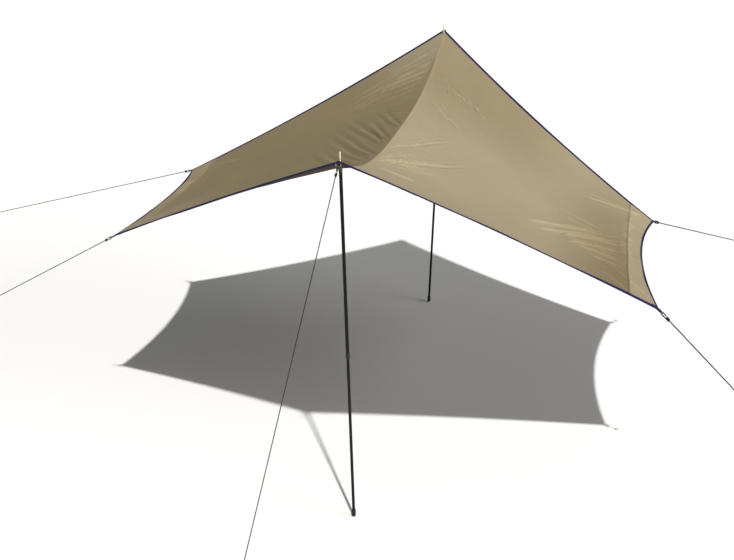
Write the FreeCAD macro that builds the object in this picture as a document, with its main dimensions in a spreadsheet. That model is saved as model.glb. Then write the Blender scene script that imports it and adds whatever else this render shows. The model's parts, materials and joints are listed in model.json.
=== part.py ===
"""Ridge tarp shelter: a six-sided cloth canopy on two poles, held by five guy lines and pegs.

Frame: millimetres, +Z up, origin on the ground below the middle of the ridge. The ridge runs
along Y, the front pole stands at -Y and the left wing lies at -X.
"""
import FreeCAD, Part
import math
import os
import Sketcher

V = FreeCAD.Vector
UP = V(0, 0, 1)
OUT = "parts"

DIMENSIONS = {
    # canopy outline: two peaks on the ridge and two corners on each wing
    "ridge_span": 3780,
    "peak_height": 2350,
    "ridge_sag": 302,
    "ridge_fullness": 2.77,
    "front_left_x": -1821,
    "front_left_y": -881,
    "front_left_z": 1379,
    "back_left_x": -1878,
    "back_left_y": 966,
    "back_left_z": 1292,
    "front_right_x": 1882,
    "front_right_y": -924,
    "front_right_z": 1217,
    "back_right_x": 1802,
    "back_right_y": 1015,
    "back_right_z": 1149,
    # how far the middle of each cut edge curves in towards the middle, and how far it rises
    "front_edge_inset": 13,
    "front_edge_rise": 19,
    "back_edge_inset": 41,
    "back_edge_rise": -20,
    "wing_edge_inset": 102,
    "wing_edge_rise": 41,
    # cloth, tapes and patches
    "cloth_thickness": 2,
    "binding_width": 18,
    "binding_thickness": 4,
    "edge_slant": 30,
    "end_panel_share": 0.095,
    "ridge_tape_width": 24,
    "tape_lift": 1,
    "patch_thickness": 1.5,
    "patch_lift": 0.2,
    "peak_patch_length": 430,
    "corner_patch_length": 170,
    # peak grommets and the spikes that pass through them
    "grommet_inset": 30,
    "grommet_bore_radius": 8,
    "grommet_radius": 14,
    "grommet_thickness": 5,
    "grommet_below_share": 0.6,
    "grommet_gap": 0.3,
    "grommet_cutter_reach": 40,
    "spike_radius": 4,
    "spike_shoulder_radius": 4.5,
    "spike_shoulder_above": 12,
    "spike_above_cloth": 65,
    "spike_point_length": 6,
    "spike_point_radius": 2.2,
    "spike_root": 40,
    # poles: an upper tube with a collar and a lower tube that telescopes into it
    "upper_tube_radius": 10.5,
    "upper_tube_bore": 9.5,
    "lower_tube_radius": 9.2,
    "lower_tube_bore": 8.2,
    "upper_tube_length": 1180,
    "tube_overlap": 160,
    "collar_radius": 12,
    "collar_drop": 20,
    "collar_length": 34,
    "sleeve_radius": 12,
    "sleeve_length": 36,
    "sleeve_lip": 4,
    "sleeve_gap": 0.3,
    "plug_length": 46,
    "plug_waist_radius": 6.5,
    "foot_radius": 13,
    "foot_height": 38,
    "front_foot_x": 100,
    "front_foot_y": -1854,
    "back_foot_x": -42,
    "back_foot_y": 1774,
    # webbing loops and rings
    "webbing_width": 24,
    "webbing_thickness": 2,
    "webbing_reach": 16,
    "ring_wire_radius": 2.5,
    "ring_radius": 16.5,
    "ring_gap": 0.5,
    # guy lines, tensioners and pegs
    "guy_radius": 3,
    "storm_guy_radius": 4,
    "eye_length": 34,
    "knot_length": 26,
    "stop_knot_radius": 7.5,
    "knot_wrap": 1,
    "guy_touch": 0.2,
    "return_strand": 235,
    "tensioner_distance": 130,
    "tensioner_length": 44,
    "tensioner_wall": 3,
    "tensioner_round": 3,
    "tensioner_gap": 0.4,
    "peg_radius": 3.5,
    "peg_hold": 150,
    "peg_neck": 172,
    "peg_hook_radius": 11,
    "peg_hook_return": 14,
    "peg_tip_length": 26,
    "peg_tip_radius": 1.2,
    # where each peg's point stands on the ground
    "front_peg_x": -277,
    "front_peg_y": -2986,
    "front_left_peg_x": -3666,
    "front_left_peg_y": -118,
    "back_left_peg_x": -4513,
    "back_left_peg_y": 2551,
    "front_right_peg_x": 3019,
    "front_right_peg_y": -1146,
    "back_right_peg_x": 2715,
    "back_right_peg_y": 3486,
}

doc = FreeCAD.newDocument("tarp_shelter")
sheet = doc.addObject("Spreadsheet::Sheet", "Dimensions")
for row, (alias, number) in enumerate(DIMENSIONS.items(), start=1):
    sheet.set(f"A{row}", alias)
    sheet.set(f"B{row}", str(number))
    sheet.setAlias(f"B{row}", alias)
doc.recompute()


def value(alias):
    """The number that the sheet holds for a dimension."""
    return float(sheet.get(alias))


def bind(thing, **expressions):
    """Bind properties of a document object to formulas in the sheet's aliases."""
    for name, formula in expressions.items():
        words = formula.replace("(", " ( ").replace(")", " ) ").split(" ")
        bound = " ".join("Dimensions." + w if w in DIMENSIONS else w for w in words)
        thing.setExpression(name.replace("__", "."), bound)
    return thing


NODES = []


def node(thing, label, placement=None):
    """Name a finished sub-part and put it in its place."""
    thing.Label = label
    if placement is not None:
        thing.Placement = placement
    NODES.append(thing)
    return thing


# ---------------------------------------------------------------- general solids

def primitive(kind, name, **expressions):
    """A Part primitive whose sizes, and height along its own Z, follow the sheet."""
    return bind(doc.addObject(kind, name), **expressions)


def joined(name, *pieces):
    """One solid from several that meet or overlap."""
    fused = doc.addObject("Part::MultiFuse", name)
    fused.Shapes = list(pieces)
    return fused


def cut(name, base, tool):
    """The base with the tool's shape taken away."""
    result = doc.addObject("Part::Cut", name)
    result.Base = base
    result.Tool = tool
    return result


def plane(body, role):
    """One of a body's own origin planes."""
    return next(f for f in body.Origin.OriginFeatures if f.Role == role)


def tube_body(name, outer, inner, length):
    """A straight tube along Z, padded from two circles."""
    body = doc.addObject("PartDesign::Body", name)
    sketch = body.newObject("Sketcher::SketchObject", name + "_section")
    sketch.AttachmentSupport = [(plane(body, "XY_Plane"), "")]
    sketch.MapMode = "FlatFace"
    for formula in (outer, inner):
        ring = sketch.addGeometry(Part.Circle(V(0, 0, 0), UP, value(formula)), False)
        sketch.addConstraint(Sketcher.Constraint("Coincident", ring, 3, -1, 1))
        size = sketch.addConstraint(Sketcher.Constraint("Radius", ring, value(formula)))
        sketch.setExpression(f"Constraints[{size}]", "Dimensions." + formula)
    pad = body.newObject("PartDesign::Pad", name + "_pad")
    pad.Profile = sketch
    bind(pad, Length=str(length))
    return body


def turned_body(name, profile):
    """A body of revolution about Z from (radius, height) formulas in order round its section."""
    body = doc.addObject("PartDesign::Body", name)
    sketch = body.newObject("Sketcher::SketchObject", name + "_section")
    sketch.AttachmentSupport = [(plane(body, "XZ_Plane"), "")]
    sketch.MapMode = "FlatFace"
    points = [V(evaluate(r), evaluate(z), 0) for r, z in profile]
    count = len(points)
    for i in range(count):
        sketch.addGeometry(Part.LineSegment(points[i], points[(i + 1) % count]), False)
    for i in range(count):
        joint = Sketcher.Constraint("Coincident", i, 2, (i + 1) % count, 1)
        sketch.addConstraint(joint)
    for i, (radius, height) in enumerate(profile):
        for kind, formula, axis in (("DistanceX", radius, -2), ("DistanceY", height, -1)):
            if formula == "0":
                sketch.addConstraint(Sketcher.Constraint("PointOnObject", i, 1, axis))
                continue
            size = evaluate(formula)
            at = sketch.addConstraint(Sketcher.Constraint(kind, -1, 1, i, 1, size))
            bind(sketch, **{f"Constraints[{at}]": formula})
    turn = body.newObject("PartDesign::Revolution", name + "_turn")
    turn.Profile = sketch
    turn.ReferenceAxis = (sketch, ["V_Axis"])
    turn.Angle = 360
    return body


def evaluate(formula):
    """The number that a formula in the sheet's aliases stands for."""
    words = formula.replace("(", " ( ").replace(")", " ) ").split()
    total = 0.0
    sign = 1
    for word in words:
        if word in "+-":
            sign = -1 if word == "-" else 1
            continue
        total += sign * (value(word) if word in DIMENSIONS else float(word))
    return total


# ---------------------------------------------------------------- canopy surface

HALF = value("ridge_span") / 2
PEAKS = {"front": V(0, -HALF, value("peak_height")), "back": V(0, HALF, value("peak_height"))}
CORNERS = {
    end + "_" + wing: V(*(value(f"{end}_{wing}_{axis}") for axis in "xyz"))
    for end in ("front", "back")
    for wing in ("left", "right")
}


def ridge_point(u):
    """The ridge from the front peak (u = 0) to the back peak (u = 1), sagging between them."""
    drop = value("ridge_sag") * (1 - abs(2 * u - 1) ** value("ridge_fullness"))
    return V(0, value("ridge_span") * (u - 0.5), value("peak_height") - drop)


def edge_point(start, end, t, inset, rise):
    """A cut edge from start to end, curved towards the canopy's middle and up or down."""
    along = end - start
    inward = V(-along.y, along.x, 0).normalize()
    middle = (start + end) / 2
    if inward.dot(V(-middle.x, -middle.y, 0)) < 0:
        inward = inward * -1
    bow = 4 * t * (1 - t)
    return start + along * t + (inward * inset + UP * rise) * bow


def front_edge(wing, v):
    """From the front peak to the wing's front corner."""
    inset, rise = value("front_edge_inset"), value("front_edge_rise")
    return edge_point(PEAKS["front"], CORNERS["front_" + wing], v, inset, rise)


def back_edge(wing, v):
    """From the back peak to the wing's back corner."""
    inset, rise = value("back_edge_inset"), value("back_edge_rise")
    return edge_point(PEAKS["back"], CORNERS["back_" + wing], v, inset, rise)


def wing_edge(wing, u):
    """From the wing's front corner to its back corner."""
    inset, rise = value("wing_edge_inset"), value("wing_edge_rise")
    return edge_point(CORNERS["front_" + wing], CORNERS["back_" + wing], u, inset, rise)


def cloth_point(wing, u, v):
    """A point of the cloth: u from front to back, v from the ridge (0) to the wing's edge (1)."""
    across = ridge_point(u) * (1 - v) + wing_edge(wing, u) * v
    along = front_edge(wing, v) * (1 - u) + back_edge(wing, v) * u
    near = (PEAKS["front"] * (1 - v) + CORNERS["front_" + wing] * v) * (1 - u)
    far = (PEAKS["back"] * (1 - v) + CORNERS["back_" + wing] * v) * u
    return across + along - near - far


def share_of_length(wing, v, width):
    """How much of u a strip of the given width takes at v."""
    return width / (back_edge(wing, v) - front_edge(wing, v)).Length


def share_of_wing(width):
    """How much of v a strip of the given width takes."""
    middle = 0.5
    return width / (wing_edge("left", middle) - ridge_point(middle)).Length


def cloth_face(wing, u_range, v_range, lift, steps=(16, 10)):
    """A smooth face over part of a wing. u_range gives the two limits of u at any v."""
    rows = []
    for i in range(steps[0] + 1):
        row = []
        for j in range(steps[1] + 1):
            v = v_range[0] + (v_range[1] - v_range[0]) * j / steps[1]
            low, high = u_range(v)
            u = low + (high - low) * i / steps[0]
            row.append(cloth_point(wing, u, v) + UP * lift)
        rows.append(row)
    surface = Part.BSplineSurface()
    surface.interpolate(rows)
    return surface.toShape()


def cloth_solid(name, wing, u_range, v_range, lift, thickness, steps=(16, 10)):
    """A piece of cloth or tape: its upper face, thickened downwards."""
    face = doc.addObject("Part::Feature", name + "_face")
    face.Shape = cloth_face(wing, u_range, v_range, lift, steps)
    solid = doc.addObject("Part::Extrusion", name)
    solid.Base = face
    solid.DirMode = "Custom"
    solid.Dir = V(0, 0, -1)
    solid.Solid = True
    bind(solid, LengthFwd=thickness)
    return solid


# the strips are measured across, and the front and back edges cross the u lines at a slant
SLANT = math.cos(math.radians(value("edge_slant")))
BINDING = value("binding_width")
TAPE_V = share_of_wing(value("ridge_tape_width"))
BINDING_V = 1 - share_of_wing(BINDING)
END_V = 1 - value("end_panel_share")


def bound(wing, v):
    """How much of u the front or back binding takes at v."""
    return share_of_length(wing, v, BINDING / SLANT)


def grommet_place(end):
    """The grommet's middle and the direction of its axis, square to the ridge."""
    inset = value("grommet_inset") / value("ridge_span")
    u = inset if end == "front" else 1 - inset
    step = inset / 2
    along = ridge_point(u + step) - ridge_point(u - step)
    axis = V(1, 0, 0).cross(along).normalize()
    return ridge_point(u), axis


def grommet_tool(name, end):
    """The round hole for a grommet, as a solid to cut with."""
    centre, axis = grommet_place(end)
    tool = primitive("Part::Cylinder", name, Radius="grommet_radius + grommet_gap")
    reach = value("grommet_cutter_reach")
    tool.Height = 2 * reach
    tool.Placement = FreeCAD.Placement(centre - axis * reach, FreeCAD.Rotation(UP, axis))
    return tool


def holed(name, piece):
    """A piece of the canopy with both grommet holes cut through it."""
    holes = joined(name + "_holes", *(grommet_tool(f"{name}_{e}", e) for e in PEAKS))
    return cut(name + "_holed", piece, holes)


def build_canopy():
    """The four panels, six edge bindings, ridge tape and reinforcing patches."""
    for wing in ("left", "right"):
        start_v = TAPE_V if wing == "right" else 0

        def between_bindings(v, wing=wing):
            return bound(wing, v), 1 - bound(wing, v)

        panel = cloth_solid(
            wing + "_panel_cloth", wing, between_bindings, (start_v, END_V), 0,
            "cloth_thickness", (24, 14)
        )
        node(holed(wing + "_panel", panel), wing + "_panel")
        end_panel = cloth_solid(
            wing + "_end_panel", wing, between_bindings, (END_V, BINDING_V), 0, "cloth_thickness"
        )
        node(end_panel, wing + "_end_panel")
        lift = (value("binding_thickness") - value("cloth_thickness")) / 2
        strips = {
            "front": (lambda v, wing=wing: (0, bound(wing, v)), (0, 1)),
            "back": (lambda v, wing=wing: (1 - bound(wing, v), 1), (0, 1)),
            "end": (between_bindings, (BINDING_V, 1)),
        }
        for place, (u_range, v_range) in strips.items():
            steps = (16, 3) if place == "end" else (3, 16)
            name = f"{wing}_{place}_binding"
            strip = cloth_solid(
                name + "_tape", wing, u_range, v_range, lift, "binding_thickness", steps
            )
            node(strip if place == "end" else holed(name, strip), name)
        build_corner_patches(wing)

    def whole_tape(v):
        return bound("right", v), 1 - bound("right", v)

    tape = cloth_solid(
        "ridge_tape_cloth", "right", whole_tape, (0, TAPE_V), value("tape_lift"),
        "cloth_thickness + tape_lift", (24, 3)
    )
    node(holed("ridge_tape", tape), "ridge_tape")
    for end in PEAKS:
        build_peak_patch(end)


def build_corner_patches(wing):
    """A doubled layer of cloth inside each corner of a wing."""
    length = value("corner_patch_length")
    lift = value("patch_lift") + value("patch_thickness")
    low_v = BINDING_V - share_of_wing(length)
    for end in ("front", "back"):
        def patch_range(v, end=end):
            inner = bound(wing, v) + share_of_length(wing, v, length)
            outer = bound(wing, v)
            return (outer, inner) if end == "front" else (1 - inner, 1 - outer)

        name = f"{end}_{wing}_corner_patch"
        patch = cloth_solid(
            name, wing, patch_range, (low_v, BINDING_V), lift, "patch_thickness", (6, 6)
        )
        node(patch, name)


def build_peak_patch(end):
    """A doubled layer of cloth that folds over the ridge at a peak."""
    length = value("peak_patch_length")
    high_v = share_of_wing(length)
    halves = []
    for wing in ("left", "right"):
        def patch_range(v, wing=wing):
            outer = bound(wing, v)
            inner = outer + share_of_length(wing, v, length * (1 - v / high_v) + BINDING)
            return (outer, inner) if end == "front" else (1 - inner, 1 - outer)

        tape_top = value("tape_lift") if wing == "right" else 0
        lift = value("patch_lift") + value("patch_thickness") + tape_top
        half = cloth_solid(
            f"{end}_{wing}_peak_half", wing, patch_range, (0, high_v), lift,
            "patch_thickness", (8, 8)
        )
        halves.append(half)
    patch = joined(f"{end}_peak_layers", *halves)
    node(holed(f"{end}_peak_patch", patch), f"{end}_peak_patch")


def build_grommets():
    """A thick steel eyelet in each peak."""
    for end in PEAKS:
        centre, axis = grommet_place(end)
        ring = turned_body(end + "_peak_grommet", [
            ("grommet_bore_radius", "0"),
            ("grommet_radius", "0"),
            ("grommet_radius", "grommet_thickness"),
            ("grommet_bore_radius", "grommet_thickness"),
        ])
        base = centre - axis * value("grommet_thickness") * value("grommet_below_share")
        place = FreeCAD.Placement(base, FreeCAD.Rotation(UP, axis))
        node(ring, end + "_peak_grommet", place)


# ---------------------------------------------------------------- poles

def pole_frame(end):
    """Where a pole's foot stands, the way it leans and its length up to the grommet."""
    top, _ = grommet_place(end)
    foot = V(value(end + "_foot_x"), value(end + "_foot_y"), value("foot_radius"))
    lean = FreeCAD.Rotation(UP, top - foot)
    return FreeCAD.Placement(foot, lean), (top - foot).Length


def raised(place, height):
    """A placement moved up along its own Z."""
    return place.multiply(FreeCAD.Placement(V(0, 0, height), FreeCAD.Rotation()))


def build_pole(end):
    """Spike, collar, upper tube, sleeve, locking plug, lower tube and foot of one pole."""
    base, length = pole_frame(end)
    collar_base = length - value("collar_drop") - value("collar_length")
    upper_base = collar_base - value("upper_tube_length")
    lower_base = value("foot_radius") / 2

    spike = turned_body(end + "_pole_spike", [
        ("0", "0"),
        ("spike_shoulder_radius", "0"),
        ("spike_shoulder_radius", "spike_root + collar_drop + spike_shoulder_above"),
        ("spike_radius", "spike_root + collar_drop + spike_shoulder_above"),
        ("spike_radius", "spike_root + collar_drop + spike_above_cloth - spike_point_length"),
        ("spike_point_radius", "spike_root + collar_drop + spike_above_cloth"),
        ("0", "spike_root + collar_drop + spike_above_cloth"),
    ])
    spike_base = length - value("collar_drop") - value("spike_root")
    node(spike, end + "_pole_spike", raised(base, spike_base))

    dome = primitive("Part::Sphere", end + "_collar_dome", Radius="collar_radius")
    bind(dome, Placement__Base__z="collar_length")
    barrel = primitive(
        "Part::Cylinder", end + "_collar_barrel", Radius="collar_radius", Height="collar_length"
    )
    drilled = primitive(
        "Part::Cylinder", end + "_collar_bore", Radius="spike_shoulder_radius"
    )
    drilled.Height = 2 * value("collar_length") + value("spike_root")
    drilled.Placement.Base = V(0, 0, value("collar_length") - value("spike_root"))
    solid = joined(end + "_collar_blank", dome, barrel)
    collar = cut(end + "_pole_collar", solid, drilled)
    node(collar, end + "_pole_collar", raised(base, collar_base))

    tube = tube_body(
        end + "_pole_upper_tube", "upper_tube_radius", "upper_tube_bore", "upper_tube_length"
    )
    node(tube, end + "_pole_upper_tube", raised(base, upper_base))

    sleeve = turned_body(end + "_pole_sleeve", [
        ("lower_tube_radius + sleeve_gap", "0"),
        ("sleeve_radius", "0"),
        ("sleeve_radius", "sleeve_length"),
        ("upper_tube_radius", "sleeve_length"),
        ("upper_tube_radius", "sleeve_lip"),
        ("lower_tube_radius + sleeve_gap", "sleeve_lip"),
    ])
    node(sleeve, end + "_pole_sleeve", raised(base, upper_base - value("sleeve_lip")))

    lower_top = upper_base + value("tube_overlap")
    lower = tube_body(
        end + "_pole_lower_tube", "lower_tube_radius", "lower_tube_bore", lower_top - lower_base
    )
    node(lower, end + "_pole_lower_tube", raised(base, lower_base))

    plug = turned_body(end + "_pole_lock_plug", [
        ("0", "0"),
        ("lower_tube_bore", "0"),
        ("lower_tube_bore", "plug_length - sleeve_length"),
        ("plug_waist_radius", "plug_length - sleeve_length"),
        ("plug_waist_radius", "plug_length"),
        ("0", "plug_length"),
    ])
    plug_base = lower_top - value("plug_length") + value("sleeve_length")
    node(plug, end + "_pole_lock_plug", raised(base, plug_base))

    ball = primitive("Part::Sphere", end + "_foot_ball", Radius="foot_radius")
    barrel = primitive(
        "Part::Cylinder", end + "_foot_barrel", Radius="foot_radius", Height="foot_height"
    )
    socket = primitive(
        "Part::Cylinder", end + "_foot_socket", Radius="lower_tube_radius", Height="foot_height"
    )
    bind(socket, Placement__Base__z="foot_radius / 2")
    foot = cut(end + "_pole_foot", joined(end + "_foot_blank", ball, barrel), socket)
    node(foot, end + "_pole_foot", base)


# ---------------------------------------------------------------- rings, guy lines and pegs

GUYS = {
    "front": (PEAKS["front"], "guy_radius"),
    "front_left": (CORNERS["front_left"], "guy_radius"),
    "back_left": (CORNERS["back_left"], "guy_radius"),
    "front_right": (CORNERS["front_right"], "storm_guy_radius"),
    "back_right": (CORNERS["back_right"], "storm_guy_radius"),
}


def axes(x_axis, z_axis, origin):
    """A placement with the given X and Z directions."""
    return FreeCAD.Placement(origin, FreeCAD.Rotation(x_axis, V(), z_axis, "ZXY"))


def guy_frames(name):
    """Frames of a taut guy: X runs down the line from the canopy, and its peg stands along Z.

    The peg stands square to the line, so its lean follows from where its point is.
    """
    start, _ = GUYS[name]
    tip = V(value(name + "_peg_x"), value(name + "_peg_y"), value("peg_tip_radius"))
    outward = V(tip.x - start.x, tip.y - start.y, 0)
    reach = outward.Length
    height = start.z - tip.z
    outward.normalize()
    steep = math.atan2(reach, height)
    lean = math.acos(value("peg_hold") / math.hypot(reach, height)) - steep
    peg_axis = outward * math.sin(lean) + UP * math.cos(lean)
    hold = tip + peg_axis * value("peg_hold")
    line = (hold - start).normalize()
    return axes(line, peg_axis, start), axes(line, peg_axis, tip), (hold - start).Length


def build_webbing(name, place):
    """A webbing loop, square to the line, that carries the ring's straight bar."""
    halves = []
    for side, radius in (
        ("outer", "ring_wire_radius + ring_gap + webbing_thickness"),
        ("inner", "ring_wire_radius + ring_gap"),
    ):
        strap = primitive(
            "Part::Box", f"{name}_{side}_strap", Length="webbing_reach", Width="webbing_width",
            Height=f"2 * ( {radius} )"
        )
        bind(strap, Placement__Base__y="- webbing_width / 2", Placement__Base__z=f"- ( {radius} )")
        bend = primitive(
            "Part::Cylinder", f"{name}_{side}_bend", Radius=radius, Height="webbing_width"
        )
        bend.Placement.Rotation = FreeCAD.Rotation(V(1, 0, 0), -90)
        bind(bend, Placement__Base__x="webbing_reach", Placement__Base__y="- webbing_width / 2")
        halves.append(joined(f"{name}_{side}", strap, bend))
    node(cut(name + "_webbing", *halves), name + "_webbing", place)


def build_ring(name, place):
    """A D-shaped steel ring whose bar lies in the webbing loop."""
    bar = primitive(
        "Part::Cylinder", name + "_bar", Radius="ring_wire_radius", Height="2 * ring_radius"
    )
    bar.Placement.Rotation = FreeCAD.Rotation(V(1, 0, 0), -90)
    bind(bar, Placement__Base__x="webbing_reach", Placement__Base__y="- ring_radius")
    bow = primitive(
        "Part::Torus", name + "_bow", Radius1="ring_radius", Radius2="ring_wire_radius"
    )
    bow.Angle3 = 180
    bow.Placement.Rotation = FreeCAD.Rotation(UP, -90)
    bind(bow, Placement__Base__x="webbing_reach")
    pieces = [bar, bow]
    for sign in ("-", "+"):
        elbow = primitive("Part::Sphere", name + "_elbow", Radius="ring_wire_radius")
        bind(elbow, Placement__Base__x="webbing_reach")
        bind(elbow, Placement__Base__y=f"{sign} ring_radius")
        pieces.append(elbow)
    node(joined(name + "_ring", *pieces), name + "_ring", place)


def cord_tube(points, arcs, radius):
    """A round cord along straight runs and arcs; points are the ends of each run in order."""
    edges = []
    for i in range(0, len(points), 2):
        edges.append(Part.LineSegment(points[i], points[i + 1]).toShape())
        if i // 2 < len(arcs):
            edges.append(Part.Arc(points[i + 1], arcs[i // 2], points[i + 2]).toShape())
    path = Part.Wire(edges)
    section = Part.Wire(Part.Circle(points[0], points[1] - points[0], radius).toShape())
    tube = path.makePipeShell([section], True, True)
    ideal = math.pi * radius ** 2 * path.Length
    return tube, path.Length, tube.Volume / ideal


def strand_geometry(name):
    """The line from its knot to the peg in the guy's own frame, and the way back."""
    _, _, reach = guy_frames(name)
    radius = value(GUYS[name][1])
    eye_end = value("webbing_reach") + value("ring_radius") + value("eye_length")
    knot = V(eye_end + value("knot_length") / 2, 0, 0)
    turn = value("peg_radius") + radius + value("guy_touch")
    peg = V(reach, 0, 0)
    slant = math.asin(turn / (peg - knot).Length)
    along = V(math.cos(slant), -math.sin(slant), 0)
    across = V(-math.sin(slant), -math.cos(slant), 0)
    return knot, peg, turn, along, across


def build_guy(name):
    """One taut guy line: an eye round the ring, a knot, the long strand, the turn round the
    peg and the short strand back through the tensioner to its stop knot."""
    place, _, _ = guy_frames(name)
    radius = value(GUYS[name][1])
    knot, peg, turn, along, across = strand_geometry(name)

    near = peg + across * turn
    far = peg - across * turn
    tail = far - along * value("return_strand")
    strand, length, ratio = cord_tube([knot, near, far, tail], [peg + along * turn], radius)

    ring = V(value("webbing_reach") + value("ring_radius"), 0, 0)
    eye_turn = value("ring_wire_radius") + radius + value("guy_touch")
    eye_end = V(ring.x + value("eye_length") + value("knot_length") / 4, 0, 0)
    rise = UP * eye_turn
    eye_points = [eye_end + rise, ring + rise, ring - rise, eye_end - rise]
    eye, eye_length, eye_ratio = cord_tube(eye_points, [ring - V(eye_turn, 0, 0)], radius)

    knot_radius = eye_turn + radius + value("knot_wrap")
    knot_base = knot - V(value("knot_length") / 2, 0, 0)
    body = Part.makeCylinder(knot_radius, value("knot_length"), knot_base, V(1, 0, 0))
    body = body.makeFillet(knot_radius / 2, [e for e in body.Edges if e.Length > knot_radius * 4])
    stop = Part.makeSphere(value("stop_knot_radius"), tail)
    guy = doc.addObject("Part::Feature", name + "_guy_line")
    guy.Shape = body.fuse([strand, eye, stop])
    node(guy, name + "_guy_line", place)
    print(
        f"{name} guy: strand {length:.0f} + eye {eye_length:.0f} mm, turns {turn:.1f} and "
        f"{eye_turn:.1f} mm, volume ratios {ratio:.4f} {eye_ratio:.4f}"
    )


def build_tensioner(name):
    """A small runner with two holes, one for each strand of the guy."""
    place, _, _ = guy_frames(name)
    _, radius = GUYS[name]
    _, peg, turn, along, _ = strand_geometry(name)
    block = primitive("Part::Box", name + "_runner_block", Length="tensioner_length")
    bind(block, Width=f"2 * ( peg_radius + guy_touch + 2 * {radius} + tensioner_wall )")
    bind(block, Height=f"2 * ( {radius} + tensioner_gap + tensioner_wall )")
    bind(block, Placement__Base__y=f"- ( peg_radius + guy_touch + 2 * {radius} + tensioner_wall )")
    bind(block, Placement__Base__z=f"- ( {radius} + tensioner_gap + tensioner_wall )")
    doc.recompute()
    rounded = doc.addObject("Part::Fillet", name + "_runner_rounded")
    rounded.Base = block
    size = value("tensioner_round")
    rounded.Edges = [(i + 1, size, size) for i in range(len(block.Shape.Edges))]
    holes = []
    for sign in ("-", "+"):
        hole = primitive(
            "Part::Cylinder", name + "_runner_hole", Radius=f"{radius} + tensioner_gap",
            Height="3 * tensioner_length"
        )
        hole.Placement.Rotation = FreeCAD.Rotation(V(0, 1, 0), 90)
        bind(hole, Placement__Base__x="- tensioner_length")
        bind(hole, Placement__Base__y=f"{sign} ( peg_radius + guy_touch + {radius} )")
        holes.append(hole)
    runner = cut(name + "_tensioner", rounded, joined(name + "_runner_holes", *holes))
    start = peg - along * (value("tensioner_distance") + value("tensioner_length"))
    local = axes(along, UP, start)
    node(runner, name + "_tensioner", place.multiply(local))


def build_peg(name):
    """A round steel peg with a pointed tip and a hook that opens away from the shelter."""
    _, place, _ = guy_frames(name)
    point = primitive("Part::Sphere", name + "_peg_point", Radius="peg_tip_radius")
    tip = primitive(
        "Part::Cone", name + "_peg_tip", Radius1="peg_tip_radius", Radius2="peg_radius",
        Height="peg_tip_length"
    )
    shaft = primitive(
        "Part::Cylinder", name + "_peg_shaft", Radius="peg_radius",
        Height="peg_neck - peg_tip_length"
    )
    bind(shaft, Placement__Base__z="peg_tip_length")
    hook = primitive(
        "Part::Torus", name + "_peg_hook", Radius1="peg_hook_radius", Radius2="peg_radius"
    )
    hook.Angle3 = 180
    hook.Placement.Rotation = FreeCAD.Rotation(V(1, 0, 0), 90)
    bind(hook, Placement__Base__x="peg_hook_radius", Placement__Base__z="peg_neck")
    end = primitive(
        "Part::Cylinder", name + "_peg_end", Radius="peg_radius", Height="peg_hook_return"
    )
    bind(end, Placement__Base__x="2 * peg_hook_radius")
    bind(end, Placement__Base__z="peg_neck - peg_hook_return")
    node(joined(name + "_peg", point, tip, shaft, hook, end), name + "_peg", place)


def build_spare_ring():
    """The back peak's webbing loop and ring, which hang straight down."""
    place = axes(V(0, 0, -1), V(0, 1, 0), PEAKS["back"])
    build_webbing("back", place)
    build_ring("back", place)


# ---------------------------------------------------------------- the whole shelter

build_canopy()
build_grommets()
for end in PEAKS:
    build_pole(end)
for guy in GUYS:
    build_webbing(guy, guy_frames(guy)[0])
    build_ring(guy, guy_frames(guy)[0])
    build_guy(guy)
    build_tensioner(guy)
    build_peg(guy)
build_spare_ring()

doc.recompute()
for thing in doc.Objects:
    if {"Invalid", "Error"} & set(thing.State):
        raise RuntimeError(f"{thing.Label} did not build: {thing.State}")
for thing in NODES:
    shape = thing.Shape
    if shape.isNull() or not shape.isValid() or not shape.Solids:
        raise RuntimeError(f"{thing.Label} is not a valid solid")

os.makedirs(OUT, exist_ok=True)
for thing in NODES:
    thing.Shape.exportStep(os.path.join(OUT, thing.Label + ".step"))
print(len(NODES), "sub-parts written")
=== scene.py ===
"""The looks of a ridge tarp shelter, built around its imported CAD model. Metres, +Z up."""
import json
import math

import bmesh
import bpy
import numpy as np
from mathutils import Matrix, Vector


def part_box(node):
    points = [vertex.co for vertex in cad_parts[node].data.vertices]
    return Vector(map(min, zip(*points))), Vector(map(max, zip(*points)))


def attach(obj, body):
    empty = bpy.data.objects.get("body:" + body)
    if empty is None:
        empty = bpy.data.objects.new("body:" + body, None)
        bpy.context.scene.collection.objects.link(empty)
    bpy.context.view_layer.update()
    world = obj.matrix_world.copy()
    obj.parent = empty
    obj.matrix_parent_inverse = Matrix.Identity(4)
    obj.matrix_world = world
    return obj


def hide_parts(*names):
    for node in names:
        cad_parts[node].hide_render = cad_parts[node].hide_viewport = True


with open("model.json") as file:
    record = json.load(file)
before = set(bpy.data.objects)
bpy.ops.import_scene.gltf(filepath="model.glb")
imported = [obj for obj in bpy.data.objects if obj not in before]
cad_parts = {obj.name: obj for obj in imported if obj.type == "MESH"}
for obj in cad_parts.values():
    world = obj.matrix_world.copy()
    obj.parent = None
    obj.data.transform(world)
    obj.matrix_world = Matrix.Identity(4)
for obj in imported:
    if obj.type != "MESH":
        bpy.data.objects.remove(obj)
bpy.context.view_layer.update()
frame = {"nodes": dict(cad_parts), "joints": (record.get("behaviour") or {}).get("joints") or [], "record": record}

MM = 0.001
SCENE = bpy.context.scene
SCENE.view_settings.view_transform = "Standard"
RNG = np.random.default_rng(11)

MOUNTS = {m["name"]: m for m in frame["record"]["mounts"]}
GUY_NAMES = ("front", "front_left", "back_left", "front_right", "back_right")
WINGS = ("left", "right")
ENDS = ("front", "back")


# ------------------------------------------------------------------ camera, floor and light

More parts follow.
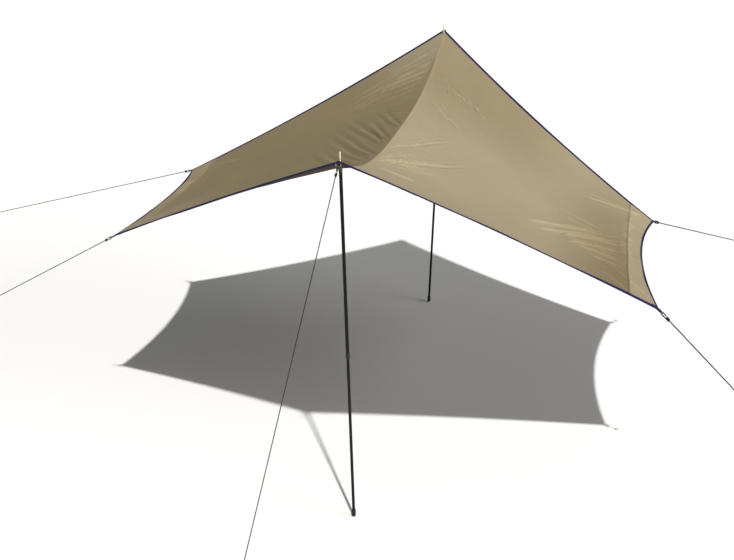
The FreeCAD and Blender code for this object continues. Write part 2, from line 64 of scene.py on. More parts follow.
def make_camera():
    """The photograph's viewpoint: a long lens, above and in front of the right wing."""
    sensor_width, image_width, focal_pixels = 36.0, 734, 1440
    yaw, pitch, roll = -0.2057, -0.3778, 0.013
    place = Vector((1.786, -9.621, 4.769))
    data = bpy.data.cameras.new("camera")
    data.sensor_width = sensor_width
    data.lens = focal_pixels / image_width * sensor_width
    data.clip_end = 200
    camera = bpy.data.objects.new("camera", data)
    turn = (
        Matrix.Rotation(-yaw, 4, "Z")
        @ Matrix.Rotation(math.pi / 2 + pitch, 4, "X")
        @ Matrix.Rotation(roll, 4, "Z")
    )
    camera.matrix_world = Matrix.Translation(place) @ turn
    SCENE.collection.objects.link(camera)
    SCENE.camera = camera


def make_light():
    """A high sun in front and to the right, a broad low light from the right, and a pale sky."""
    lamps = {
        "sun": ((0.238, -0.582, 1.0), 3.5, 1.4, (1.0, 0.985, 0.96)),
        "right_softbox": ((1.0, -0.20, 0.28), 2.1, 40.0, (1.0, 0.985, 0.95)),
    }
    for name, (towards, energy, angle, color) in lamps.items():
        data = bpy.data.lights.new(name, "SUN")
        data.energy = energy
        data.angle = math.radians(angle)
        data.color = color
        lamp = bpy.data.objects.new(name, data)
        lamp.rotation_euler = Vector(towards).to_track_quat("Z", "Y").to_euler()
        SCENE.collection.objects.link(lamp)

    world = bpy.data.worlds.new("soft_light")
    world.use_nodes = True
    SCENE.world = world
    sky = world.node_tree.nodes["Background"]
    sky.inputs["Color"].default_value = (0.97, 0.985, 1.0, 1)
    sky.inputs["Strength"].default_value = 0.14


def make_floor():
    """A plain pale floor, far wider than the view."""
    half = 60.0
    mesh = bpy.data.meshes.new("floor")
    corners = [(-half, -half, 0), (half, -half, 0), (half, half, 0), (-half, half, 0)]
    mesh.from_pydata(corners, [], [(0, 1, 2, 3)])
    floor = bpy.data.objects.new("floor", mesh)
    SCENE.collection.objects.link(floor)
    material = new_material("floor_paper", (0.86, 0.86, 0.86), roughness=0.9)
    mesh.materials.append(material)


# ------------------------------------------------------------------ materials

def new_material(name, color, roughness=0.6, **sockets):
    """A Principled material with the values that are the same all over set on its sockets."""
    material = bpy.data.materials.new(name)
    material.use_nodes = True
    shader = material.node_tree.nodes["Principled BSDF"]
    shader.inputs["Base Color"].default_value = (*color, 1)
    shader.inputs["Roughness"].default_value = roughness
    for socket, number in sockets.items():
        shader.inputs[socket.replace("_", " ")].default_value = number
    return material


class Graph:
    """Short names for building one material's node tree."""

    def __init__(self, material):
        self.tree = material.node_tree
        self.shader = self.tree.nodes["Principled BSDF"]
        self.coords = self.tree.nodes.new("ShaderNodeTexCoord")

    def link(self, source, target):
        self.tree.links.new(source, target)

    def add(self, kind, inputs=None, **settings):
        node = self.tree.nodes.new("ShaderNode" + kind)
        for key, setting in settings.items():
            setattr(node, key, setting)
        for key, given in (inputs or {}).items():
            if isinstance(given, bpy.types.NodeSocket):
                self.link(given, node.inputs[key])
            else:
                node.inputs[key].default_value = given
        return node

    def math(self, operation, *given):
        node = self.add("Math", operation=operation)
        for i, item in enumerate(given):
            if isinstance(item, bpy.types.NodeSocket):
                self.link(item, node.inputs[i])
            else:
                node.inputs[i].default_value = item
        return node.outputs[0]

    def noise(self, vector, scale, detail=3.0, roughness=0.55):
        found = self.add("TexNoise", {"Scale": scale, "Detail": detail, "Roughness": roughness})
        self.link(vector, found.inputs["Vector"])
        return found.outputs["Fac"]

    def ramp(self, value, stops):
        node = self.add("ValToRGB", {"Fac": value})
        elements = node.color_ramp.elements
        while len(elements) < len(stops):
            elements.new(0.5)
        for element, (at, color) in zip(elements, stops):
            element.position = at
            element.color = (*color, 1)
        return node.outputs["Color"]

    def map(self, value, low, high, to_low=0.0, to_high=1.0):
        inputs = {
            "Value": value, "From Min": low, "From Max": high, "To Min": to_low, "To Max": to_high
        }
        return self.add("MapRange", inputs).outputs[0]

    def scaled(self, vector, factors):
        return self.add("Mapping", {"Vector": vector, "Scale": factors}).outputs[0]

    def between(self, value, low, high):
        """0 at low, 1 at high and smooth between them; low may be the larger."""
        return self.add("MapRange", {"Value": value, "From Min": low, "From Max": high},
                        interpolation_type="SMOOTHSTEP").outputs[0]

    def times(self, a, b):
        return self.math("MULTIPLY", a, b)

    def drive(self, socket, source):
        """Links a source to one of the shader's own sockets."""
        self.link(source, self.shader.inputs[socket])

    def mix(self, factor, a, b, blend="MIX"):
        node = self.tree.nodes.new("ShaderNodeMix")
        node.data_type = "RGBA"
        node.blend_type = blend
        for index, given in ((0, factor), (6, a), (7, b)):
            if isinstance(given, bpy.types.NodeSocket):
                self.link(given, node.inputs[index])
            else:
                node.inputs[index].default_value = given if index == 0 else (*given, 1)
        return node.outputs[2]

    def shade(self, color, level):
        """A color made lighter or darker by a level; a level of 1 leaves it as it is."""
        grey = self.add("CombineColor", {0: level, 1: level, 2: level}).outputs[0]
        return self.mix(1.0, color, grey, "MULTIPLY")

    def bump(self, heights):
        """Chains bumps from (height socket, strength, distance in metres)."""
        normal = None
        for height, strength, distance in heights:
            node = self.add("Bump", {"Height": height, "Strength": strength, "Distance": distance})
            if normal is not None:
                self.link(normal, node.inputs["Normal"])
            normal = node.outputs["Normal"]
        self.drive("Normal", normal)


def weave(graph, uv, warp_pitch, weft_pitch):
    """Heights of a plain weave whose threads are the pitches apart, from coordinates in metres."""
    split = graph.add("SeparateXYZ", {0: uv})
    warp = graph.math("SINE", graph.times(split.outputs["X"], 2 * math.pi / warp_pitch))
    weft = graph.math("SINE", graph.times(split.outputs["Y"], 2 * math.pi / weft_pitch))
    return graph.times(warp, weft)


def painted_wing_shade(graph, uv):
    """How deep the painted shade is on the left and the right wing, from 0 to 1 each.

    X runs along the cloth from its middle, and Y is the distance from the ridge, below zero on
    the left wing; both are in metres.
    """
    split = graph.add("SeparateXYZ", {0: uv})
    x, y = split.outputs["X"], split.outputs["Y"]
    far = graph.math("ABSOLUTE", y)

    def region(x_ends, far_ends):
        return graph.times(graph.between(x, *x_ends), graph.between(far, *far_ends))

    # Painted shade over the whole left wing, with less of it near the back peak and towards the front corner
    left = graph.between(y, 0.01, -0.01)
    lit_peak = region((0.95, 1.75), (0.75, 0.10))
    lit_corner = region((-0.1, -1.4), (0.9, 1.75))
    lit_left = graph.math("ADD", lit_peak, graph.times(lit_corner, 1.15))
    left_shade_depth = graph.times(left, graph.math("SUBTRACT", 1.0, lit_left))
    # Painted shade on the right wing: deep along its low edge towards the front, and lighter high up towards the
    # back
    low = region((2.4, -1.3), (1.10, 1.72))
    high = region((0.15, 1.35), (1.55, 0.75))
    shade_depth = graph.math("ADD", graph.times(low, 1.05), graph.times(high, 0.56))
    return left_shade_depth, graph.times(shade_depth, graph.math("SUBTRACT", 1.0, left))


# Painted shade: what the left and the right wing's colour is multiplied by where the painted shade is deepest
WING_SHADE_TINTS = ((0.765, 0.735, 0.63), (0.60, 0.53, 0.44))
PANEL_SHADE_TINTS = ((0.90, 0.88, 0.81), (0.88, 0.86, 0.82))
EVEN_TINTS = ((1.0, 1.0, 1.0), (1.0, 1.0, 1.0))
THREAD_PITCH = 1.1 * MM


def cloth_material(name, pale, deep, shade_tints=WING_SHADE_TINTS):
    """Proofed polycotton: a fine plain weave with slubs, soft mottling and faint dirt, with painted
    highlights on the crests of the folds, painted shade in their troughs and over parts of the wings."""
    material = new_material(name, pale, roughness=0.78, Specular_IOR_Level=0.2)
    graph = Graph(material)
    uv = graph.coords.outputs["UV"]
    mottle = graph.noise(uv, 1.6, 4.0, 0.6)
    slub = graph.noise(graph.scaled(uv, (9.0, 420.0, 1.0)), 1.0, 2.0)
    cross_slub = graph.noise(graph.scaled(uv, (420.0, 9.0, 1.0)), 1.0, 2.0)
    threads = graph.math("ADD", slub, cross_slub)
    color = graph.ramp(mottle, [(0.3, deep), (0.7, pale)])
    color = graph.shade(color, graph.map(threads, 0.7, 1.3, 0.93, 1.06))
    dirt = graph.map(graph.noise(uv, 5.5, 6.0, 0.7), 0.58, 0.8)
    color = graph.mix(graph.times(dirt, 0.4), color, (0.80, 0.78, 0.74), "MULTIPLY")
    fold_shade = graph.add("Attribute", attribute_name="fold_shade").outputs["Fac"]
    # Painted highlight on the crests of the folds and painted shade in their troughs, from each fold's height
    color = graph.shade(color, graph.map(fold_shade, -1.0, 1.0, 0.74, 1.08))
    # Painted shade laid over parts of both wings
    for shade_depth, shade_tint in zip(painted_wing_shade(graph, uv), shade_tints):
        color = graph.mix(shade_depth, color, shade_tint, "MULTIPLY")
    graph.drive("Base Color", color)
    graph.drive("Roughness", graph.map(mottle, 0.2, 0.8, 0.66, 0.8))
    graph.bump([
        (weave(graph, uv, THREAD_PITCH, THREAD_PITCH), 0.25, 0.15 * MM),
        (threads, 0.3, 0.5 * MM),
        (graph.noise(uv, 38.0, 3.0), 0.35, 1.6 * MM),
    ])
    return material


def tape_material(name, pale, deep):
    """Woven tape with ribs across it; V runs across the tape in metres."""
    material = new_material(name, pale, roughness=0.85, Specular_IOR_Level=0.2)
    graph = Graph(material)
    uv = graph.coords.outputs["UV"]
    wear = graph.noise(uv, 22.0, 4.0, 0.65)
    base = graph.ramp(wear, [(0.35, deep), (0.75, pale)])
    fluff = graph.map(graph.noise(uv, 900.0, 2.0), 0.3, 0.7, 0.8, 1.2)
    graph.drive("Base Color", graph.shade(base, fluff))
    ribs = weave(graph, uv, 0.9 * MM, 1.6 * MM)
    graph.bump([(ribs, 0.35, 0.15 * MM), (wear, 0.3, 0.4 * MM)])
    return material


def metal_material(name, color, roughness):
    """Bare metal with fine scratches along its length and dull, brownish patches."""
    material = new_material(name, color, roughness=roughness, Metallic=1.0)
    graph = Graph(material)
    place = graph.coords.outputs["Object"]
    fine = graph.noise(graph.scaled(place, (900.0, 900.0, 60.0)), 1.0, 2.0)
    patch = graph.noise(place, 60.0, 5.0, 0.7)
    dull = graph.map(patch, 0.5, 0.75, 0.0, 0.5)
    dark = tuple(c * share for c, share in zip(color, (0.60, 0.51, 0.36)))
    graph.drive("Base Color", graph.mix(dull, color, dark))
    rough = graph.map(fine, 0.3, 0.7, roughness - 0.08, roughness + 0.12)
    graph.drive("Roughness", graph.math("ADD", rough, graph.times(dull, 0.35)))
    graph.bump([(fine, 0.35, 0.05 * MM), (patch, 0.2, 0.2 * MM)])
    return material


def paint_material(name, color, worn):
    """Powder coat over steel: orange-peel grain, with scuffs that run along the tube."""
    material = new_material(name, color, roughness=0.6, Specular_IOR_Level=0.12)
    graph = Graph(material)
    place = graph.coords.outputs["Object"]
    streak = graph.noise(graph.scaled(place, (260.0, 260.0, 7.0)), 1.0, 4.0, 0.65)
    scuff = graph.map(streak, 0.66, 0.74, 0.0, 0.7)
    cloud = graph.noise(place, 9.0, 3.0)
    base = graph.ramp(cloud, [(0.3, tuple(c * 0.8 for c in color)), (0.7, color)])
    graph.drive("Base Color", graph.mix(scuff, base, worn))
    graph.drive("Roughness", graph.map(scuff, 0.0, 0.7, 0.52, 0.7))
    peel = graph.noise(place, 700.0, 2.0)
    graph.bump([(peel, 0.3, 0.12 * MM), (scuff, -0.2, 0.1 * MM)])
    return material


def moulded_material(name, color, roughness):
    """Plastic, rubber or thread with a fine grain and rubbed, dusty patches."""
    material = new_material(name, color, roughness=roughness)
    graph = Graph(material)
    place = graph.coords.outputs["Object"]
    dust = graph.map(graph.noise(place, 45.0, 5.0, 0.7), 0.5, 0.8, 0.0, 0.35)
    dusty = tuple(min(1.0, c * 1.5 + 0.03) for c in color)
    graph.drive("Base Color", graph.mix(dust, color, dusty))
    graph.drive("Roughness", graph.map(dust, 0.0, 0.35, roughness, roughness + 0.2))
    graph.bump([(graph.noise(place, 900.0, 2.0), 0.35, 0.15 * MM)])
    return material


def rope_material(name, color, fleck, radius):
    """Braided cord: crossing strands that spiral round it, with flecks of a second yarn."""
    strand_pairs = 4
    pitch = radius * 2 * math.pi * 0.9
    material = new_material(name, color, roughness=0.8, Specular_IOR_Level=0.25)
    graph = Graph(material)
    split = graph.add("SeparateXYZ", {0: graph.coords.outputs["UV"]})
    lengthwise = graph.times(split.outputs["X"], 2 * math.pi * strand_pairs / pitch)
    crosswise = graph.times(split.outputs["Y"], 2 * math.pi * strand_pairs)
    one = graph.math("SINE", graph.math("ADD", lengthwise, crosswise))
    other = graph.math("SINE", graph.math("SUBTRACT", lengthwise, crosswise))
    braid = graph.math("MAXIMUM", one, other)
    # Painted shade in the grooves between the strands, darkest where no strand lies on top
    base = graph.shade(color, graph.map(braid, -0.2, 0.6, 0.45, 1.0))
    tracer = graph.map(graph.times(one, other), 0.45, 0.6, 0.0, 1.0)
    graph.drive("Base Color", graph.mix(tracer, base, fleck))
    graph.bump([(braid, 0.9, radius * 0.18)])
    return material
    return material


# ------------------------------------------------------------------ building meshes

def set_uvs(mesh, uvs):
    """Writes UVs given per point to the mesh's texture coordinates."""
    index = np.empty(len(mesh.loops), np.int64)
    mesh.loops.foreach_get("vertex_index", index)
    values = np.asarray(uvs, np.float32).reshape(-1, 2)[index]
    mesh.uv_layers["UVMap"].data.foreach_set("uv", values.ravel())


def make_mesh(name, points, faces, uvs=None, closed=True):
    """A smooth-shaded mesh object, with UVs given per point. A closed one faces outwards."""
    mesh = bpy.data.meshes.new(name)
    mesh.from_pydata(np.asarray(points, float).reshape(-1, 3).tolist(), [], faces)
    if closed:
        shell = bmesh.new()
        shell.from_mesh(mesh)
        bmesh.ops.recalc_face_normals(shell, faces=shell.faces)
        shell.to_mesh(mesh)
        shell.free()
    if uvs is not None:
        mesh.uv_layers.new(name="UVMap")
        set_uvs(mesh, uvs)
    mesh.polygons.foreach_set("use_smooth", np.ones(len(mesh.polygons), bool))
    obj = bpy.data.objects.new(name, mesh)
    SCENE.collection.objects.link(obj)
    return obj


def grid_faces(rows, columns, closed=False, keep=None):
    """Quads over a grid of points; closed joins the last column to the first."""
    index = np.arange(rows * columns).reshape(rows, columns)
    if closed:
        index = np.hstack([index, index[:, :1]])
    quads = np.stack([index[:-1, :-1], index[1:, :-1], index[1:, 1:], index[:-1, 1:]], -1)
    quads = quads.reshape(-1, 4)
    if keep is not None:
        quads = quads[keep.ravel()]
    return quads.tolist()


def smooth(x):
    """0 below 0, 1 above 1, and smooth between them."""
    x = np.clip(x, 0, 1)
    return x * x * (3 - 2 * x)


def unit(vector):
    vector = np.asarray(vector, float)
    return vector / np.linalg.norm(vector, axis=-1, keepdims=True)


def distances_along(points):
    """The distance along a line of points to each of them."""
    steps = np.linalg.norm(np.diff(points, axis=0), axis=1)
    return np.concatenate([[0], np.cumsum(steps)])


def circle(side, up, count):
    """Evenly spaced shares of a turn, and the directions to them from side towards up."""
    turn = np.arange(count) / count
    angle = 2 * np.pi * turn[:, None]
    return turn, np.cos(angle) * side[..., None, :] + np.sin(angle) * up[..., None, :]


def make_tube(name, points, along, around):
    """A closed tube over rows of points, with a face on each end. along and around are the
    rows' and the columns' texture coordinates."""
    rows, columns = points.shape[:2]
    last = (rows - 1) * columns
    faces = grid_faces(rows, columns, closed=True)
    faces += [list(range(columns))[::-1], list(range(last, last + columns))]
    uv = np.stack(np.broadcast_arrays(along[:, None], around[None]), -1)
    return make_mesh(name, points, faces, uv)


def finish_piece(obj, body, slot, *nodes, material=None):
    """Gives a piece its body and the slot's material, unless it has one or another is named,
    and hides the CAD nodes that it stands for."""
    if not obj.data.materials:
        obj.data.materials.append(MATERIALS[material or slot])
    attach(obj, body)
    if nodes:
        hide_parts(*nodes)
    return obj


# ------------------------------------------------------------------ guy lines

RING_REACH = 0.0325         # from a corner of the canopy to the far side of its ring
RING_WIRE = 0.0025
PEG_WIRE = 0.0035
PEG_HOLD = 0.150            # from a peg's point to where its guy line turns round it
PEG_POINT = 0.0012
GAP = 0.0002
EYE_NECK = 0.045            # where the loop round the ring narrows towards its knot
KNOT_MIDDLE = 0.0795
RETURN_STRAND = 0.235

# diameter and whole length, from the loop at the ring to the stopper knot
GUYS = {
    "front": (0.006, 2.88),
    "front_left": (0.006, 2.70),
    "back_left": (0.006, 3.61),
    "front_right": (0.008, 1.96),
    "back_right": (0.008, 3.15),
}


def corner_point(name):
    """The point of the canopy that a ring hangs from, worked out from the ring's mount."""
    mount = MOUNTS[name + "_ring_eye"]
    return np.array(mount["pos_m"]) - RING_REACH * np.array(mount["axis"])


def guy_frame(name):
    """A guy's origin, its axes (down the line, sideways, along the peg) and its reach."""
    origin = corner_point(name)
    line = unit(MOUNTS[name + "_ring_eye"]["axis"])
    level = unit([line[0], line[1], 0])
    fall = math.asin(-line[2])
    peg_axis = level * math.sin(fall) + np.array([0, 0, math.cos(fall)])
    reach = (origin[2] - PEG_POINT - PEG_HOLD * math.cos(fall)) / math.sin(fall)
    return origin, np.array([line, np.cross(peg_axis, line), peg_axis]), reach


def guy_route(diameter, reach):
    """The line's points in its own frame: the loop round the ring, the knot, the long taut
    strand, the turn round the peg and the short strand back to the stopper knot."""
    eye = RING_WIRE + diameter / 2 + GAP
    turn = PEG_WIRE + diameter / 2 + GAP
    clear = 6 * diameter
    slope = turn / (reach - KNOT_MIDDLE)
    bend = RING_REACH - 1.1 * eye
    return [
        (0.060, 0, eye),
        (EYE_NECK, 0, 1.15 * eye),
        (bend, 0, 1.4 * eye),
        (bend, 0, -1.4 * eye),
        (EYE_NECK, 0, -1.15 * eye),
        (0.063, 0, -eye),
        (KNOT_MIDDLE, 0, 0),
        (KNOT_MIDDLE + clear, -clear * slope, 0),
        (reach - clear, clear * slope - turn, 0),
        (reach + 1.05 * turn, -1.4 * turn, 0),
        (reach + 1.05 * turn, 1.4 * turn, 0),
        (reach - clear, clear * slope + turn, 0),
        (reach - RETURN_STRAND, RETURN_STRAND * slope + turn, 0),
    ]


def spline_points(name, route):
    """Points read from the smooth NURBS line that the route's points control."""
    curve = bpy.data.curves.new(name + "_route", "CURVE")
    curve.dimensions = "3D"
    curve.resolution_u = 16
    spline = curve.splines.new("NURBS")
    spline.points.add(len(route) - 1)
    for point, place in zip(spline.points, route):
        point.co = (*place, 1)
    spline.order_u = 3
    spline.use_endpoint_u = True
    holder = bpy.data.objects.new(name + "_route", curve)
    mesh = bpy.data.meshes.new_from_object(holder)
    points = np.array([v.co for v in mesh.vertices])
    bpy.data.objects.remove(holder)
    bpy.data.curves.remove(curve)
    bpy.data.meshes.remove(mesh)
    return points


def tube(name, points, radius, sides=12):
    """A round tube along points. U is the distance along it and V goes once round it."""
    ahead = unit(np.gradient(points, axis=0))
    side = unit(np.cross(ahead[0], [0.31, 0.17, 0.93]))
    across = []
    for direction in ahead:
        side = unit(side - direction * (side @ direction))
        across.append(side)
    across = np.array(across)
    turn, around = circle(across, np.cross(ahead, across), sides)
    return make_tube(name, points[:, None] + around * radius, distances_along(points), turn)


def wraps(name, centre, ahead, radius, wire, turns):
    """A barrel of turns of the line itself, wound round the strands inside it."""
    side = unit(np.cross(ahead, [0.1, 0.2, 1.0]))
    up = np.cross(ahead, side)
    points_per_turn, pitch, tucked, tuck = 26, wire * 2.02, wire * 0.6, 0.08
    angle = np.linspace(0, 2 * np.pi * turns, int(turns * points_per_turn))
    share = angle / angle[-1]
    along = (share - 0.5) * pitch * turns
    size = tucked + (radius - tucked) * smooth(share / tuck) * smooth((1 - share) / tuck)
    points = (
        centre + along[:, None] * ahead
        + (size * np.cos(angle))[:, None] * side + (size * np.sin(angle))[:, None] * up
    )
    return tube(name, points, wire, sides=10)


def build_guys():
    """Each guy line and its knots."""
    for name, (diameter, length) in GUYS.items():
        slot = "storm_guy" if name.endswith("_right") else "guy_line"
        origin, directions, reach = guy_frame(name)
        down, strand = directions[0], diameter / 2
        route = np.array(guy_route(diameter, reach)) @ directions + origin
        line = spline_points(name, route)
        rope = tube(name + "_guy", line, strand)
        finish_piece(rope, "canopy", slot, name + "_guy_line")
        rope.visible_shadow = False
        middle = origin + KNOT_MIDDLE * down
        knot = wraps(name + "_barrel_knot", middle, down, diameter * 0.95, strand, 3.5)
        finish_piece(knot, "canopy", slot)
        back = unit(line[-1] - line[-2])
        middle = line[-1] - 0.001 * back
        stop = wraps(name + "_stopper_knot", middle, back, diameter * 0.62, strand, 1.9)
        finish_piece(stop, "canopy", slot)


# ------------------------------------------------------------------ the cloth's surface

FULLNESS = 2.77             # how evenly the ridge sags: 2 is a parabola
TAPE_DEPTH = 0.002
EDGE_BOW = {"front": (0.013, 0.019), "back": (0.041, -0.020), "wing": (0.102, 0.041)}
SEAM_V = 0.905              # where the seam to a wing's end panel lies, as a share of the wing
SEAM_DROP = 0.007           # how far nearer to the ridge it lies at its ends
SEAM_BOW = 0.042            # and how far from there it comes out in the middle
RIDGE_BLEND = 0.02          # how far from the ridge the cloth's normal turns upright
CLOTH_HALF = 0.0006
GROMMET_INSET = 0.030
GROMMET_HOLE = 0.0095       # the radius of the hole in the cloth
PATCH_OPENING = 0.026       # clear of the collar that pushes up under the grommet
CREST = 0.008               # the height of a fold whose crest gets the palest painted highlight
ARCH = 0.019                # how far the left wing arches up behind its front edge
SWELL_HEIGHT = 0.0009

PEAKS = {end: corner_point(end) for end in ENDS}
CORNERS = {(end, wing): corner_point(f"{end}_{wing}") for end in ENDS for wing in WINGS}
SAG = PEAKS["front"][2] - (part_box("ridge_tape")[0].z + TAPE_DEPTH)
SPAN = PEAKS["back"][1] - PEAKS["front"][1]


def bowed(start, end, t, inset, rise):
    """A cut edge from start to end, curved towards the canopy's middle and up or down."""
    along = end - start
    inward = unit([-along[1], along[0], 0])
    middle = (start + end) / 2
    if inward @ np.array([-middle[0], -middle[1], 0]) < 0:
        inward = -inward
    t = np.asarray(t, float)[..., None]
    bow = inward * inset + np.array([0, 0, rise])
    return start + along * t + bow * 4 * t * (1 - t)


def base_point(wing, u, v):
    """The taut cloth with no folds: u from front to back, v from the ridge to the edge."""
    u, v = np.broadcast_arrays(np.asarray(u, float), np.asarray(v, float))
    front, back = PEAKS["front"], PEAKS["back"]
    low_front, low_back = CORNERS["front", wing], CORNERS["back", wing]
    ridge = np.stack([
        0 * u,
        front[1] + SPAN * u,
        front[2] - SAG * (1 - np.abs(2 * u - 1) ** FULLNESS),
    ], -1)
    front_edge = bowed(front, low_front, v, *EDGE_BOW["front"])
    back_edge = bowed(back, low_back, v, *EDGE_BOW["back"])
    wing_edge = bowed(low_front, low_back, u, *EDGE_BOW["wing"])
    u, v = u[..., None], v[..., None]
    flat = (front * (1 - v) + low_front * v) * (1 - u) + (back * (1 - v) + low_back * v) * u
    return ridge * (1 - v) + wing_edge * v + front_edge * (1 - u) + back_edge * u - flat


def seam_v(u):
    """Where the seam to an end panel lies: a straight cut, while the end edge itself curves."""
    return SEAM_V - SEAM_DROP + SEAM_BOW * 4 * u * (1 - u)


def length_at(wing, v):
    """How long the cloth is from its front edge to its back edge at v, in metres."""
    v = np.asarray(v, float)
    across = bowed(PEAKS["back"], CORNERS["back", wing], v, *EDGE_BOW["back"])
    across = across - bowed(PEAKS["front"], CORNERS["front", wing], v, *EDGE_BOW["front"])
    return np.linalg.norm(across, axis=-1)


WIDTH = {
    wing: float(np.linalg.norm(base_point(wing, 0.5, 1.0) - base_point(wing, 0.5, 0.0)))
    for wing in WINGS
}


def chart(wing, u, v):
    """Distances on the cloth in metres: along it from its middle, and down from the ridge."""
    return np.stack([(np.asarray(u) - 0.5) * length_at(wing, v), np.asarray(v) * WIDTH[wing]], -1)


FOLD_RISE = 3.0             # the height and the width of a fold, as a share of those listed
FOLD_NARROW = 0.80
# Folds: (u, v) at the start, (u, v) at the end, width in mm, height in mm
FOLDS = {
    "left": [
        # from the ridge near the back peak
        ((0.935, 0.004), (0.942, 0.160), 34, 2.4),
        ((0.889, 0.004), (0.890, 0.210), 38, 3.2),
        ((0.856, 0.004), (0.886, 0.310), 44, 4.0),
        ((0.825, 0.004), (0.866, 0.270), 40, 3.4),
        ((0.800, 0.004), (0.814, 0.180), 36, 2.6),
        ((0.765, 0.004), (0.791, 0.134), 32, 2.0),
        ((0.736, 0.004), (0.738, 0.094), 30, 1.5),
        # long soft folds that fan out from the ridge
        ((0.620, 0.006), (0.680, 0.155), 80, 1.5),
        ((0.510, 0.005), (0.750, 0.190), 84, 1.9),
        ((0.400, 0.004), (0.730, 0.240), 84, 2.1),
        ((0.396, 0.016), (0.826, 0.372), 96, 2.4),
        ((0.286, 0.006), (0.720, 0.380), 96, 2.5),
        ((0.238, 0.011), (0.625, 0.366), 92, 2.2),
        ((0.150, 0.004), (0.590, 0.416), 110, 2.4),
        ((0.468, 0.069), (0.394, 0.011), 50, 2.6),
        # into the corners
        ((0.060, 0.980), (0.330, 0.620), 70, 1.1),
        ((0.030, 0.960), (0.120, 0.560), 60, 0.9),
        ((0.940, 0.980), (0.720, 0.640), 70, 2.6),
    ],
    "right": [
        # pulls that end at the seam of the end panel
        ((0.310, 0.545), (0.596, 0.929), 56, 5.0),
        ((0.274, 0.586), (0.559, 0.935), 50, 5.2),
        ((0.322, 0.678), (0.512, 0.935), 54, 7.0),
        ((0.279, 0.698), (0.436, 0.935), 48, 6.0),
        ((0.275, 0.735), (0.334, 0.926), 42, 5.0),
        ((0.241, 0.789), (0.270, 0.921), 44, 2.6),
        # from the ridge
        ((0.364, 0.004), (0.606, 0.201), 46, 4.2),
        ((0.278, 0.004), (0.421, 0.115), 38, 3.6),
        ((0.254, 0.004), (0.500, 0.296), 54, 4.4),
        ((0.261, 0.022), (0.372, 0.209), 50, 2.4),
        ((0.218, 0.034), (0.218, 0.198), 44, 2.2),
        # beside the back edge
        ((0.828, 0.075), (0.830, 0.295), 40, 3.6),
        ((0.859, 0.114), (0.799, 0.328), 38, 3.6),
        ((0.720, 0.045), (0.654, 0.254), 40, 3.4),
        ((0.642, 0.029), (0.605, 0.135), 40, 1.8),
        ((0.640, 0.590), (0.655, 0.625), 26, 1.6),
        ((0.700, 0.600), (0.712, 0.640), 26, 1.6),
        # into the corners
        ((0.035, 0.890), (0.166, 0.784), 70, 4.0),
        ((0.060, 0.985), (0.300, 0.800), 60, 2.6),
        ((0.955, 0.970), (0.760, 0.700), 80, 3.0),
    ],
}
# Rows of short folds: the range of u, v at the start, v at the end, how many, width, height in mm
EVEN_PUCKERS = [
    ((0.36, 0.66), 0.002, 0.032, 17, 26, 1.1),
    ((0.06, 0.94), 0.002, 0.020, 26, 34, 0.6),
    ((0.08, 0.92), 0.915, 0.962, 24, 30, 0.9),
    ((0.08, 0.92), 0.895, 0.862, 20, 34, 0.8),
]
WING_PUCKERS = [
    ("right", (0.60, 0.80), 0.908, 0.975, 8, 26, 2.2),
    ("right", (0.42, 0.55), 0.908, 0.970, 5, 26, 2.0),
    ("left", (0.50, 0.72), 0.995, 0.895, 9, 30, 2.4),
]
# Fans of folds: both ends of the row of starts, both ends of the row of ends, how many, width,
# height in mm
FANS = [
    ("left", [(0.30, 0.60), (0.62, 0.66)], [(0.26, 0.87), (0.56, 0.89)], 9, 40, 0.8),
    ("left", [(0.945, 0.01), (0.760, 0.01)], [(0.955, 0.26), (0.800, 0.30)], 13, 24, 2.2),
    ("left", [(0.930, 0.12), (0.800, 0.16)], [(0.900, 0.48), (0.760, 0.44)], 7, 34, 1.7),
    ("right", [(0.900, 0.02), (0.640, 0.01)], [(0.760, 0.34), (0.560, 0.20)], 13, 24, 2.3),
    ("right", [(0.560, 0.01), (0.230, 0.01)], [(0.560, 0.20), (0.330, 0.30)], 14, 24, 2.8),
    ("right", [(0.560, 0.66), (0.230, 0.74)], [(0.590, 0.925), (0.260, 0.925)], 8, 30, 1.8),
    ("right", [(0.620, 0.965), (0.300, 0.965)], [(0.600, 0.925), (0.300, 0.925)], 8, 22, 2.0),
]


def puckers(u_range, v_start, v_end, count, width, height):
    """Short folds across a seam or beside the ridge, unevenly spaced."""
    low, high = u_range
    made = []
    for i in range(count):
        u = low + (high - low) * (i + RNG.uniform(0.15, 0.85)) / count
        lean = RNG.uniform(-0.012, 0.012)
        reach = RNG.uniform(0.55, 1.1)
        end = v_start + (v_end - v_start) * reach
        size = height * RNG.uniform(0.5, 1.15)
        made.append(((u, v_start), (u + lean, end), width * RNG.uniform(0.8, 1.25), size))
    return made


def fan(starts, ends, count, width, height):
    """Fine folds side by side, each from a point between the starts to one between the ends."""
    starts, ends = np.array(starts), np.array(ends)
    made = []
    for i in range(count):
        share = (i + RNG.uniform(0.2, 0.8)) / count
        start = starts[0] + (starts[1] - starts[0]) * share
        end = ends[0] + (ends[1] - ends[0]) * share
        end = start + (end - start) * RNG.uniform(0.6, 1.1)
        rise = height * RNG.uniform(0.5, 1.2)
        made.append((tuple(start), tuple(end), width * RNG.uniform(0.75, 1.3), rise))
    return made


def add_puckers():
    """Adds the rows of small folds to the folds that are listed one by one."""
    for wing in WINGS:
        for row in EVEN_PUCKERS:
            FOLDS[wing] += puckers(*row)
    for wing, *row in WING_PUCKERS:
        FOLDS[wing] += puckers(*row)
    for wing, *row in FANS:
        FOLDS[wing] += fan(*row)


